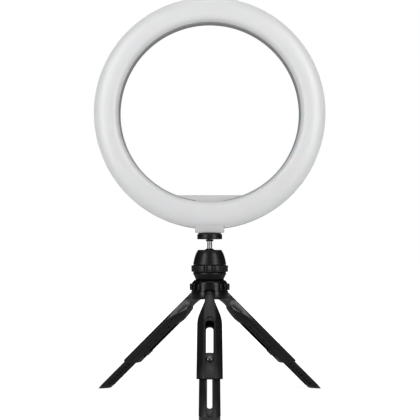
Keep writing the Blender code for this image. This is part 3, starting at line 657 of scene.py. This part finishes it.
PLATFORM_LOW, PLATFORM_HIGH = bottom_of("platform"), top_of("platform")
PLATFORM_R = 14.0
STEM_R = 2.8
SCREW_CLEAR_R = 3.4
STUD_CLEAR_R = 3.4
BALL_R = 8.2
MOUTH_R = 6.6
CUP_BORE_R = 9.7
DOME_LOW, DOME_HIGH = 148.7, top_of("ball_housing")
DOME_R = 18.5
LOCK_LOW, LOCK_HIGH = bottom_of("ball_lock_ring"), top_of("ball_lock_ring")
LOCK_R = 20.6
LOCK_CORE_R = 19.0
LOCK_BORE_R = 14.9
LOCK_RIB_INSET = 0.5  # the ribs stop this far short of the ring's ends
BASE_LOW = bottom_of("ball_base")
BASE_HIGH = 140.0
BASE_FOOT_R = 16.1
SLEEVE_R, SLEEVE_HIGH = 14.5, 141.4


def platform():
    """A disc with a socket for the stem below and a pocket for the camera screw's head inside."""
    low, high, r, socket = PLATFORM_LOW, PLATFORM_HIGH, PLATFORM_R, STEM_R + GAP
    return turned(rounded([
        (SCREW_CLEAR_R, high), (r, high, 1.9), (r, low, 0.6), (6.6, low), (6.2, low + 0.4),
        (socket, low + 0.4), (socket, low + 3.2), (6.0, low + 3.2), (6.0, low + 5.0),
        (SCREW_CLEAR_R, low + 5.0)], True, 6), 96)


def platform_pad():
    """A thin rubber disc with two rings pressed into its top."""
    low, high, r = PLATFORM_HIGH + 0.15, top_of("platform_pad"), PLATFORM_R - 1.0
    top = [(r - 0.35, high), (10.2, high), (10.0, high - 0.25), (9.4, high - 0.25), (9.2, high),
           (6.2, high), (6.0, high - 0.25), (5.4, high - 0.25), (5.2, high), (SCREW_CLEAR_R, high)]
    return turned([(SCREW_CLEAR_R, low), (r, low), (r, high - 0.35)] + top, 96)


def stem_collar():
    """A low hexagon under the platform that narrows into a round skirt."""
    top, low = PLATFORM_LOW - 0.3, PLATFORM_LOW - 2.2
    skirt = turned(rounded([(STEM_R + GAP, top), (4.4, top, 0.2), (4.4, top - 1.0), (3.7, low, 0.2),
                            (STEM_R + GAP, low)]), 48)
    hexagon = prism(arc(4.55, 0, 300, 6), low - 1, top + 1)
    return softened(common(skirt, hexagon), 0.15)


def ball():
    """A ball, cut flat below, with a bore for the stem."""
    start, end, steps = degrees(asin((STEM_R + 0.6) / BALL_R)), 155, 32
    shell = [(BALL_R * sin(radians(a)), BALL_Z + BALL_R * cos(radians(a)))
             for a in (start + (end - start) * i / steps for i in range(steps + 1))]
    bore = [(0, BALL_Z - 1.5), (STEM_R + GAP, BALL_Z - 1.5), (STEM_R + GAP, shell[0][1])]
    return turned(bore + shell + [(0, shell[-1][1])], 96)


def ball_housing():
    """A dome on a bolder rim, open at the top round the ball."""
    seat_r = BALL_R + 0.3
    seat_top = asin(MOUTH_R / seat_r)
    seat = [(seat_r * sin(a), BALL_Z + seat_r * cos(a))
            for a in (seat_top + (pi / 2 - seat_top) * i / 12 for i in range(13))]
    flank = flowing([(13.6, DOME_HIGH - 0.7), (14.3, DOME_HIGH - 1.9), (15.6, 161.0), (17.1, 156.4),
                     (18.1, 152.0), (DOME_R, DOME_LOW + 1.3)], 6)
    lip = rounded([(MOUTH_R, DOME_HIGH - 0.8), (MOUTH_R + 0.8, DOME_HIGH, 0.4), (8.8, DOME_HIGH, 0.3),
                   (9.1, DOME_HIGH - 0.35, 0.2), (9.8, DOME_HIGH - 0.35, 0.2), (10.1, DOME_HIGH, 0.3),
                   (13.1, DOME_HIGH, 0.8), flank[0]], False)
    foot = rounded([flank[-1], (DOME_R, DOME_LOW, 0.4), (SLEEVE_R, DOME_LOW), (SLEEVE_R, 142.0),
                    (13.0, 142.0), (13.0, 152.0), (CUP_BORE_R, 152.0), (CUP_BORE_R, 157.3),
                    (seat_r, 157.3)], False)
    return turned(lip[:-1] + flank + foot[1:] + seat[::-1], 128)


def rib(half, inner, outer, low, high, crown=0.5, ease=0.5):
    """One grip rib along -Y with a rounded tip."""
    outline = rounded([(-half, -inner), (-half, -outer, crown), (half, -outer, crown), (half, -inner)],
                      True, 5)
    return softened(prism(outline, low, high), ease, 3, 50)


def ball_lock_ring():
    """Six broad pads with a roof-shaped rib and two slim ones between each pair."""
    low, high, root = LOCK_LOW + LOCK_RIB_INSET, LOCK_HIGH - LOCK_RIB_INSET, LOCK_CORE_R - 1.2
    core = turned(rounded([(LOCK_BORE_R, LOCK_HIGH), (LOCK_CORE_R, LOCK_HIGH, 0.8),
                           (LOCK_CORE_R, LOCK_LOW, 0.8), (LOCK_BORE_R, LOCK_LOW)], True, 4), 144)
    slim, broad, roof = 1.05, 4.2, 1.8  # half widths
    eaves, ridge = 1.1 - LOCK_R, 0.3 - LOCK_R
    kinds = ((-13, slim, LOCK_R - 0.4), (13, slim, LOCK_R - 0.4), (30, broad, LOCK_R))
    ribs = []
    for sixth in range(6):
        for offset, half, outer in kinds:
            one = rib(half, root, outer, low, high, min(1.2, half * 0.9))
            ribs.append(moved(one, Matrix.Rotation(radians(60 * sixth + offset), 4, "Z")))
        bold = prism(rounded([(-roof, -root), (-roof, eaves, 0.2), (0, ridge, 0.8), (roof, eaves, 0.2),
                              (roof, -root)]), low, high)
        ribs.append(moved(softened(bold, 0.3, 2, 50), Matrix.Rotation(radians(60 * sixth), 4, "Z")))
    return joined(core, gathered(ribs))


def ball_base():
    """The bowl under the lock ring: a rounded lip and a curved waist."""
    foot, pocket, sleeve, sleeve_top = 133.0, 144.0, 12.6, 151.0
    waist = flowing([(18.8, BASE_HIGH - 1.5), (18.0, 136.9), (17.0, 134.9), (16.4, 133.6), (16.2, 133.1)], 4)
    inside = [(STUD_CLEAR_R, pocket), (CUP_BORE_R, pocket), (CUP_BORE_R, sleeve_top),
              (sleeve, sleeve_top), (sleeve, SLEEVE_HIGH), (SLEEVE_R, SLEEVE_HIGH)]
    lip = rounded([inside[-1], (SLEEVE_R, BASE_HIGH), (18.7, BASE_HIGH, 0.6), waist[0]], False)
    return turned(inside + lip[1:-1] + waist + [(8.0, foot), (STUD_CLEAR_R, foot)], 128)


def bowl_foot_painted_shade():
    """A dull near-black band under the bowl: painted shade for the dark gap between the bowl and the crown.
    """
    top = 132.9
    return turned(rounded([(STUD_CLEAR_R, top), (BASE_FOOT_R, top, 0.3), (BASE_FOOT_R, BASE_LOW, 0.3),
                           (STUD_CLEAR_R, BASE_LOW)]), 128)


def build_head():
    show(on_axis(platform()), "platform_disc", BLACK, "head", ["platform"])
    show(on_axis(platform_pad()), "platform_grip", RUBBER, "head", ["platform_pad"])
    show(on_axis(stem_collar()), "stem_hexagon", BLACK, "head", ["stem_collar"])
    stem = rod(STEM_R, BALL_Z - 1.2, PLATFORM_LOW + 3.0, 0.3, 48)
    show(on_axis(stem), "stem_bar", STEEL, "head", ["stem"])
    show(on_axis(ball()), "ball_joint", BLACK, "head", ["ball"])
    show(on_axis(ball_housing()), "dome", BLACK, "base", ["ball_housing"])
    show(on_axis(ball_lock_ring()), "grip_ring", BLACK, "lock_ring", ["ball_lock_ring"])
    show(on_axis(ball_base()), "dome_bowl", BLACK, "base", ["ball_base"])
    # Its dull near-black is painted shade for the gap between bowl and crown.
    show(on_axis(bowl_foot_painted_shade()), "bowl_foot_painted_shade", PAINTED_SHADE_BLACK, "base")


# ------------------------------------------------------------------ hub

CROWN_LOW, CROWN_HIGH = bottom_of("hub_crown"), top_of("hub_crown")
HUB_LOW, HUB_R = bottom_of("hub_body"), 20.7
HUB_RIB_R = 22.6
HUB_SLOT_HALF = 5.75
HUB_SLOT_END = 8.2
NUT_R, NUT_LOW, NUT_HIGH = 6.0, HUB_LOW - 0.6, HUB_LOW + 2.1
RIB_ANGLES = (35, 53, 67, 85)  # from each leg
PIN_R, PIN_HALF = 1.5, 9.4


def about_axis(obj, leg, extra=0.0):
    """Turns a shape drawn on the -Y side round to leg 0, 1 or 2."""
    return moved(obj, Matrix.Rotation(radians(120 * leg + extra), 4, "Z"))


def hub_crown():
    """A stepped disc with four grip ribs between the legs and a pocket over each leg's hip."""
    low, high, radius = CROWN_LOW, CROWN_HIGH, 20.0
    crown = turned(rounded([(STUD_CLEAR_R, high), (17.6, high, 1.2), (19.3, high - 1.9, 1.8),
                            (radius, high - 3.6, 1.2), (radius, low), (STUD_CLEAR_R, low)], True, 6), 144)
    ribs = [about_axis(rib(1.45, 18.6, HUB_RIB_R, low + 0.5, low + 8.0, 1.1, 1.0), leg, offset)
            for leg in range(LEG_COUNT) for offset in RIB_ANGLES]
    crown = joined(crown, gathered(ribs))
    start, step, far, roof, lintel = -6.6, -18.3, -30, 122.9, 121.6
    outline = [(start, low - 1), (start, roof), (step, roof), (step, lintel), (far, lintel), (far, low - 1)]
    pockets = [about_axis(prism(outline, -HUB_SLOT_HALF, HUB_SLOT_HALF, "X"), leg)
               for leg in range(LEG_COUNT)]
    return cut(crown, gathered(pockets))


def hub_body():
    """A drum with a slot for each leg, a groove for each pin and a sunk seat for the nut."""
    top, seat_r, seat_z = CROWN_LOW - GAP, NUT_R + 0.4, NUT_HIGH + GAP
    body = turned(rounded([(STUD_CLEAR_R, top), (HUB_R, top, 0.4), (HUB_R, HUB_LOW, 1.6),
                           (seat_r, HUB_LOW, 0.2), (seat_r, seat_z), (STUD_CLEAR_R, seat_z)], True, 5), 144)
    cutters = []
    for leg in range(LEG_COUNT):
        slot = prism(block(HUB_SLOT_HALF, -30, -HUB_SLOT_END), HUB_LOW - 1, top + 1)
        body = cut(body, about_axis(slot, leg))
        half, reach = PIN_HALF + GAP, PIN_R + GAP
        groove = prism(block(half, -PIVOT_R - reach, -PIVOT_R + reach), PIVOT_Z - reach, top + 1)
        cutters.append(about_axis(groove, leg))
    return softened(cut(body, gathered(cutters)), 0.3, 2, 50)


def build_hub():
    show(on_axis(hub_crown()), "hub_cap", HUB_BLACK, "base", ["hub_crown"])
    show(on_axis(hub_body()), "hub_block", HUB_BLACK, "base", ["hub_body"])
    nut = prism(arc(NUT_R, 0, 300, 6), NUT_LOW, NUT_HIGH)
    crown = turned(rounded([(0, NUT_HIGH), (NUT_R - 0.1, NUT_HIGH, 0.7), (NUT_R - 0.1, NUT_LOW, 0.7),
                            (0, NUT_LOW)], False), 48)
    nut = cut(common(nut, crown), rod(STUD_CLEAR_R, HUB_LOW - 2, HUB_LOW + 4))
    show(on_axis(nut), "hub_hexagon", STEEL, "base", ["hub_nut"])
    for leg in range(LEG_COUNT):
        pin = rod(PIN_R, -PIN_HALF, PIN_HALF, 0.2, 32, "X")
        moved(pin, Matrix.Translation((0, -PIVOT_R, PIVOT_Z)))
        show(on_axis(about_axis(pin, leg)), f"hinge_pin_{leg + 1}", PLATED, "base",
             [f"pivot_pin_{leg + 1}"])


# ------------------------------------------------------------------ legs

SHELL_CREST_N, SHELL_BASE_N, SHELL_HALF = 5.8, -8.3, 13.5
SHELL_KNUCKLE_N, SHELL_KNUCKLE_HALF = -9.8, 2.65  # the low swelling behind the hip
SHELL_END_U, SHELL_CUT_BACK = 127.6, 10.6
EDGE_N = -1.0  # where a leg's upright sides turn into its slanted walls
SEAM_N = -3.4
COVER_START_U = 17.5
TONGUE_HALF = 5.4
CAVITY_START_U = 38.5
EXTENSION_CREST_N, EXTENSION_BASE_N, EXTENSION_HALF = 4.0, -5.3, 10.8
EXTENSION_BASE_HALF = 3.3
EXTENSION_START_U = 90.9
EXTENSION_SLOT_HALF, EXTENSION_SLOT_U = 2.55, (108.0, 164.5)
FRONT_SLOT_HALF, FRONT_SLOT_U = 4.7, (45.0, 104.4)
BACK_SLOT_HALF, BACK_SLOT_U = 3.85, (43.6, 106.0)
BAND_HALF, BAND_N, BAND_START_U = 5.9, 4.6, 40.5  # flat band that frames the front slot
BUTTON_U, BUTTON_R, BUTTON_TOP_N = 99.2, 4.2, 6.4
BUTTON_HOLE_N = -3.2  # the floor of the button's hole
SPRING_LOW_N, SPRING_HIGH_N = -3.15, 0.35
GRIP_U = 93.5
PAD_THICK = 3.0
COVER_DOTS_U = [52.5 + 12.1 * i for i in range(4)]
COVER_DOT_N = -6.2
DIMPLES_U = [104.8 + 5.15 * i for i in range(12)]
DIMPLE_N = -3.2
LEG_ANGLE = pi / 2 - FOLD


def leg_place(leg):
    """From the folded drawing to the spread leg."""
    spread = Matrix.Translation((0, -PIVOT_R, PIVOT_Z)) @ Matrix.Rotation(-FOLD, 4, "X")
    return Matrix.Translation(AXIS) @ Matrix.Rotation(radians(120 * leg), 4, "Z") @ spread


def on_leg(obj, leg):
    return moved(obj, leg_place(leg))


def crest(crest_n, half, count=33):
    """The round outer face about the folded axis, as (w, n) points from +half to -half."""
    radius = PIVOT_R + crest_n
    reach = asin(half / radius)
    return [(radius * sin(a), radius * cos(a) - PIVOT_R)
            for a in (reach - 2 * reach * i / (count - 1) for i in range(count))]


def leg_section(crest_n, base_n, half, base_half, ease):
    """Round crest, short upright sides and slanted walls down to a narrow base."""
    arch = crest(crest_n, half)
    corners = ([(*arch[0], ease)] + arch[1:-1] + [(*arch[-1], ease)]
               + [(-half, EDGE_N, 2 * ease), (-base_half, base_n, 1.5 * ease),
                  (base_half, base_n, 1.5 * ease), (half, EDGE_N, 2 * ease)])
    return rounded(corners)


def leg_prism(section, start, end):
    """A (w, n) section carried along the leg from u = start to end."""
    return prism([(w, -n) for w, n in section], -end, -start, "Z")


def side_prism(outline, half):
    """A (u, n) side view given the width 2 * half."""
    return prism([(-n, -u) for u, n in outline], -half, half, "X")


def plan_prism(outline, low, high):
    """A (w, u) plan view carried through from n = low to high."""
    return prism([(w, -u) for w, u in outline], -high, -low, "Y")


def hip_outline():
    """Side view of the outer leg: round hip, stepped underside, end cut to follow the floor."""
    hip = arc(SHELL_CREST_N, 90, 270, 25)
    under = flowing([(0, -SHELL_CREST_N), (5.0, -5.7), (10.0, -5.0), (16.0, -4.7)], 3)
    step = rounded([(16.0, -4.7), (18.2, -4.8, 0.8), (21.5, -6.6, 1.5), (26.0, SHELL_BASE_N, 1.5),
                    (34.0, SHELL_KNUCKLE_N, 2.0), (37.0, SHELL_KNUCKLE_N, 2.0), (44.0, SHELL_BASE_N, 3.0),
                    (SHELL_END_U - SHELL_CUT_BACK, SHELL_BASE_N, 0.8), (SHELL_END_U, SHELL_CREST_N)], False)
    return hip + under[1:] + step[1:]


def plan_outline():
    """Half widths along the leg: a slim tongue at the pivot that flares into the leg."""
    flare = flowing([(TONGUE_HALF, 14.0), (5.9, 17.4), (7.0, 20.9), (9.05, 27.0), (11.2, 33.1),
                     (12.8, 39.3), (SHELL_HALF, 46.5)], 4)
    half = [(TONGUE_HALF, -8.0)] + flare + [(SHELL_HALF + 0.5, 140.0)]
    return half + [(-w, u) for w, u in half[::-1]]


def wall_place(n, base_n, half, base_half):
    """Half width of a slanted wall at height n, and the wall's slope from the upright."""
    share = (EDGE_N - n) / (EDGE_N - base_n)
    return half + (base_half - half) * share, atan2(half - base_half, EDGE_N - base_n)


def wall_dimples(places, n, along, across, depth, walls):
    """Oval sinks in both slanted walls of a section, as one cutter."""
    half, slope = wall_place(n, *walls)  # a sink is drawn lying flat, then stood up along the wall
    sinks = []
    for u in places:
        for side in (1, -1):
            sink = turned(rounded([(0, depth), (1, depth), (1, -depth, 0.3), (0, -depth)], False, 3), 24)
            facing = Matrix.Rotation(side * slope, 4, "Z") @ Matrix.Rotation(side * pi / 2, 4, "Y")
            place = Matrix.Translation((side * half, -n, -u)) @ facing
            sinks.append(moved(sink, place @ Matrix.Diagonal((along, across, 1, 1))))
    return gathered(sinks)


SHELL_WALLS = (SHELL_KNUCKLE_N, SHELL_HALF, SHELL_KNUCKLE_HALF)
EXTENSION_WALLS = (EXTENSION_BASE_N, EXTENSION_HALF, EXTENSION_BASE_HALF)


def extension_section(clear=0.0, ease=0.5):
    return leg_section(EXTENSION_CREST_N + clear, EXTENSION_BASE_N - clear, EXTENSION_HALF + clear,
                       EXTENSION_BASE_HALF + clear, ease)


def leg_shell_and_cover():
    """The outer leg in two mouldings that meet along a seam low on its sides."""
    section = leg_section(SHELL_CREST_N, SHELL_KNUCKLE_N, SHELL_HALF, SHELL_KNUCKLE_HALF, 0.7)
    whole = leg_prism(section, -7, SHELL_END_U + 1)
    whole = common(whole, side_prism(hip_outline(), 20), plan_prism(plan_outline(), -12, 10))
    band = slot_outline(BAND_HALF, BAND_START_U, 150)
    whole = cut(whole, plan_prism(band, BAND_N, 12),
                leg_prism(extension_section(0.35), CAVITY_START_U, SHELL_END_U + 5),
                plan_prism(slot_outline(FRONT_SLOT_HALF, *FRONT_SLOT_U), 0, 10),
                plan_prism(slot_outline(BACK_SLOT_HALF, *BACK_SLOT_U), -12, -2),
                rod(PIN_R + GAP, -20, 20, axis="X"))
    cover = twin(whole)
    start, far = COVER_START_U, 145.0
    below = side_prism([(start, SEAM_N - GAP), (far, SEAM_N - GAP), (far, -12), (start, -12)], 20)
    common(cover, below)
    above = side_prism([(start - GAP, SEAM_N), (far, SEAM_N), (far, -15), (start - GAP, -15)], 22)
    cut(whole, above)
    cut(cover, wall_dimples(COVER_DOTS_U, COVER_DOT_N, 1.3, 1.3, 1.1, SHELL_WALLS))
    return softened(whole, 0.3), softened(cover, 0.22)


def floor_u(n, above=0.0):
    """Where a line at height n over the leg's axis meets the level `above` the floor."""
    return (PIVOT_Z - above + n * cos(LEG_ANGLE)) / sin(LEG_ANGLE)


def foot_cut(start, above):
    """Side view of a leg from u = start down to a level cut."""
    top, base = EXTENSION_CREST_N + 1, EXTENSION_BASE_N - 1
    return [(start, top), (floor_u(top, above), top), (floor_u(base, above), base), (start, base)]


def leg_extension():
    bar = leg_prism(extension_section(), EXTENSION_START_U - 1, 190)
    bar = common(bar, side_prism(foot_cut(EXTENSION_START_U, PAD_THICK + GAP), 20))
    bar = cut(bar, plan_prism(slot_outline(EXTENSION_SLOT_HALF, *EXTENSION_SLOT_U), -12, 12),
              rod(BUTTON_R + GAP, -8, -BUTTON_HOLE_N, axis="Y", centre=(0, -BUTTON_U), steps=48),
              wall_dimples(DIMPLES_U, DIMPLE_N, 1.3, 1.7, 1.4, EXTENSION_WALLS))
    return softened(bar, 0.28)


def foot_pad():
    """A wedge of rubber, flat on the floor."""
    inset = 0.25
    section = leg_section(EXTENSION_CREST_N - inset, EXTENSION_BASE_N + inset, EXTENSION_HALF - inset,
                          3.0, 0.5)
    pad = leg_prism(section, 150, 190)
    top, base = EXTENSION_CREST_N + 1, EXTENSION_BASE_N - 1
    outline = [(floor_u(top, PAD_THICK), top), (floor_u(top), top), (floor_u(base), base),
               (floor_u(base, PAD_THICK), base)]
    return softened(common(pad, side_prism(outline, 20)), 0.45, 3)


def lock_button():
    """A round button with a nearly flat top."""
    top, foot = BUTTON_TOP_N, 0.4
    profile = flowing([(0, top), (1.8, top - 0.04), (2.9, top - 0.2), (3.7, top - 0.7)], 4)
    skirt = rounded([(3.7, top - 0.8), (BUTTON_R, top - 1.5, 0.4), (BUTTON_R, foot, 0.2), (0, foot)], False)
    button = turned(profile + skirt[1:], 48)
    return moved(button, Matrix.Translation((0, 0, -BUTTON_U)) @ Matrix.Rotation(pi / 2, 4, "X"))


def return_spring():
    """The compression coil between the button and the floor of its hole."""
    wire, radius, turns, around, along = 0.3, 2.6, 2.5, 12, 24
    steps = int(turns * along)
    points, faces = [], []
    for i in range(steps + 1):
        turn = 2 * pi * i / along
        n = SPRING_LOW_N + wire + (SPRING_HIGH_N - SPRING_LOW_N - 2 * wire) * i / steps
        for side, rise in arc(wire, 0, 360, around + 1)[:-1]:
            points.append(((radius + side) * cos(turn), -n - rise, (radius + side) * sin(turn) - BUTTON_U))
    for i in range(steps):
        for k in range(around):
            a, b = i * around + k, i * around + (k + 1) % around
            faces.append((a, b, b + around, a + around))
    faces += [tuple(range(around)), tuple(range(steps * around, (steps + 1) * around))]
    return solid(points, faces)


def seat_springs():
    """Gives each coil its own copy of its mesh."""
    for leg in range(LEG_COUNT):
        coil = bpy.data.objects[f"return_spring_{leg + 1}"]
        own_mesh(coil)


def slide_grip():
    """The ribbed thumb piece under the leg, drawn as a side view with three ridges."""
    length, ridges = 9.0, 3
    top, floor, peak = EXTENSION_BASE_N - GAP, -8.9, -9.9
    pitch = length / ridges
    outline = [(GRIP_U, top), (GRIP_U + length, top)]
    for i in range(ridges - 1, -1, -1):
        here = GRIP_U + pitch * i
        outline += [(here + 0.92 * pitch, floor), (here + 0.5 * pitch, peak, 0.5),
                    (here + 0.08 * pitch, floor)]
    return softened(side_prism(rounded(outline), 3.5), 0.15)


def build_legs():
    shell, cover = leg_shell_and_cover()
    kinds = (("leg_top", shell, LEG_BLACK, "leg", "black_plastic", "leg_shell"),
             ("leg_underside", cover, LEG_BLACK, "leg", "black_plastic", "leg_cover"),
             ("leg_slider", leg_extension(), LEG_BLACK, "extension", "black_plastic", "leg_extension"),
             ("foot_wedge", foot_pad(), RUBBER, "extension", "black_rubber", "foot_pad"),
             ("thumb_ridges", slide_grip(), LEG_BLACK, "extension", "black_plastic", "slide_grip"),
             ("push_button", lock_button(), BUTTON_BLACK, "button", "black_plastic", "lock_button"),
             ("return_spring", return_spring(), PLATED, "extension", "steel", "button_spring"))
    for name, shape, finish, body, slot, cad in kinds:
        for leg in range(LEG_COUNT):
            piece = on_leg(twin(shape), leg)
            show(piece, f"{name}_{leg + 1}", finish, f"{body}_{leg + 1}", [f"{cad}_{leg + 1}"])
        bpy.data.objects.remove(shape, do_unlink=True)
    seat_springs()


# ------------------------------------------------------------------ CAD nodes that stay

def finish_kept_nodes():
    kept = {"head_stud": STEEL, "camera_screw": STEEL, "pressure_ring": STEEL, "ball_cup": NATURAL,
            "tripod_insert": BRASS, "led_board": BOARD, "driver_board": BOARD}
    for name, finish in kept.items():
        obj = frame["nodes"][name]
        if not obj.material_slots:
            obj.data.materials.append(finish)
        for place in obj.material_slots:
            place.material = finish


# ------------------------------------------------------------------ camera, floor and light

CAMERA_DISTANCE = 1100.0  # in front of the tripod's axis
CAMERA_HEIGHT = 171.5
CAMERA_LENS = 83.8
CAMERA_SHIFT = 0.082
CAMERA_SIDE = 0.35
FLOOR_HALF, FLOOR_CORNER_R, FLOOR_THICK = 6000.0, 900.0, 20.0
FLOOR_DROP = 0.05  # below the feet
AIM_Z = 240.0
STRIP_X, STRIP_FORWARD, STRIP_Z, STRIP_SIZE, STRIP_WATTS = 900, 950, 560, (450, 1700), 10.9
OVERHEAD_FORWARD, OVERHEAD_Z, OVERHEAD_SIZE, OVERHEAD_WATTS = 150, 1500, (500, 900), 1.8
FILL_FORWARD, FILL_Z, FILL_SIZE, FILL_WATTS = 2600, 400, (2000, 2000), 0.9


def build_camera():
    data = bpy.data.cameras.new("camera")
    data.lens = CAMERA_LENS
    data.sensor_width = 36.0
    data.shift_y = CAMERA_SHIFT
    data.clip_start = 0.01
    camera = bpy.data.objects.new("camera", data)
    camera.location = Vector((CAMERA_SIDE, AXIS.y - CAMERA_DISTANCE, CAMERA_HEIGHT)) * MM
    camera.rotation_euler = (pi / 2, 0, 0)
    bpy.context.scene.collection.objects.link(camera)
    bpy.context.scene.camera = camera


def build_floor():
    """A wide pale floor that brightens into the white backdrop away from the object."""
    outline = [(*corner, FLOOR_CORNER_R) for corner in block(FLOOR_HALF, -FLOOR_HALF, FLOOR_HALF)]
    floor = prism(rounded(outline), -FLOOR_THICK, -FLOOR_DROP)
    floor.name = "floor"
    made = material("floor_paper", (0.30, 0.30, 0.30), 0.9)
    tree, shader, place = opened(made)
    distance = node(tree, "VectorMath", {0: place}, operation="LENGTH").outputs["Value"]
    glow = ranged(tree, distance, 0.92, 1.3, 0.15, 0.8)  # distances in metres
    shader.inputs["Emission Color"].default_value = (1, 1, 1, 1)
    path = node(tree, "LightPath").outputs
    bounced = ranged(tree, path["Is Glossy Ray"], 0.36, 0.12, 0.0, 1.0)
    # The paper reads white, and little of its glow is thrown back onto the object.
    share = node(tree, "Math", {0: bounced, 1: path["Is Camera Ray"]}, operation="MAXIMUM").outputs[0]
    lit = node(tree, "Math", {0: glow, 1: share}, operation="MULTIPLY").outputs[0]
    tree.links.new(lit, shader.inputs["Emission Strength"])
    floor.data.materials.append(made)


def area_light(name, place, size, power):
    """A rectangular lamp that faces the object's middle."""
    data = bpy.data.lights.new(name, "AREA")
    data.shape = "RECTANGLE"
    data.size, data.size_y = (length * MM for length in size)
    data.energy = power
    lamp = bpy.data.objects.new(name, data)
    lamp.location = Vector(place) * MM
    towards = Vector((0, AXIS.y, AIM_Z)) - Vector(place)
    lamp.rotation_euler = towards.to_track_quat("-Z", "Y").to_euler()
    bpy.context.scene.collection.objects.link(lamp)


def build_lights():
    """Two tall strips at the front corners, an overhead box, a front fill and a white surround."""
    for name, x in (("strip_left", -STRIP_X), ("strip_right", STRIP_X)):
        area_light(name, (x, AXIS.y - STRIP_FORWARD, STRIP_Z), STRIP_SIZE, STRIP_WATTS)
    area_light("overhead", (0, AXIS.y - OVERHEAD_FORWARD, OVERHEAD_Z), OVERHEAD_SIZE, OVERHEAD_WATTS)
    area_light("front_fill", (0, AXIS.y - FILL_FORWARD, FILL_Z), FILL_SIZE, FILL_WATTS)
    world = bpy.data.worlds.new("surround")
    bpy.context.scene.world = world
    world.use_nodes = True
    tree = world.node_tree
    tree.nodes.clear()
    seen = node(tree, "LightPath").outputs["Is Camera Ray"]
    dim = node(tree, "Background", {"Color": (1, 1, 1, 1), "Strength": 0.05})
    white = node(tree, "Background", {"Color": (1, 1, 1, 1), "Strength": 1.0})
    mix = node(tree, "MixShader", {0: seen, 1: dim.outputs[0], 2: white.outputs[0]})
    out = node(tree, "OutputWorld")
    tree.links.new(mix.outputs[0], out.inputs["Surface"])
    bpy.context.scene.view_settings.view_transform = "Standard"


build_light()
build_head()
build_hub()
build_legs()
finish_kept_nodes()
build_camera()
build_floor()
build_lights()
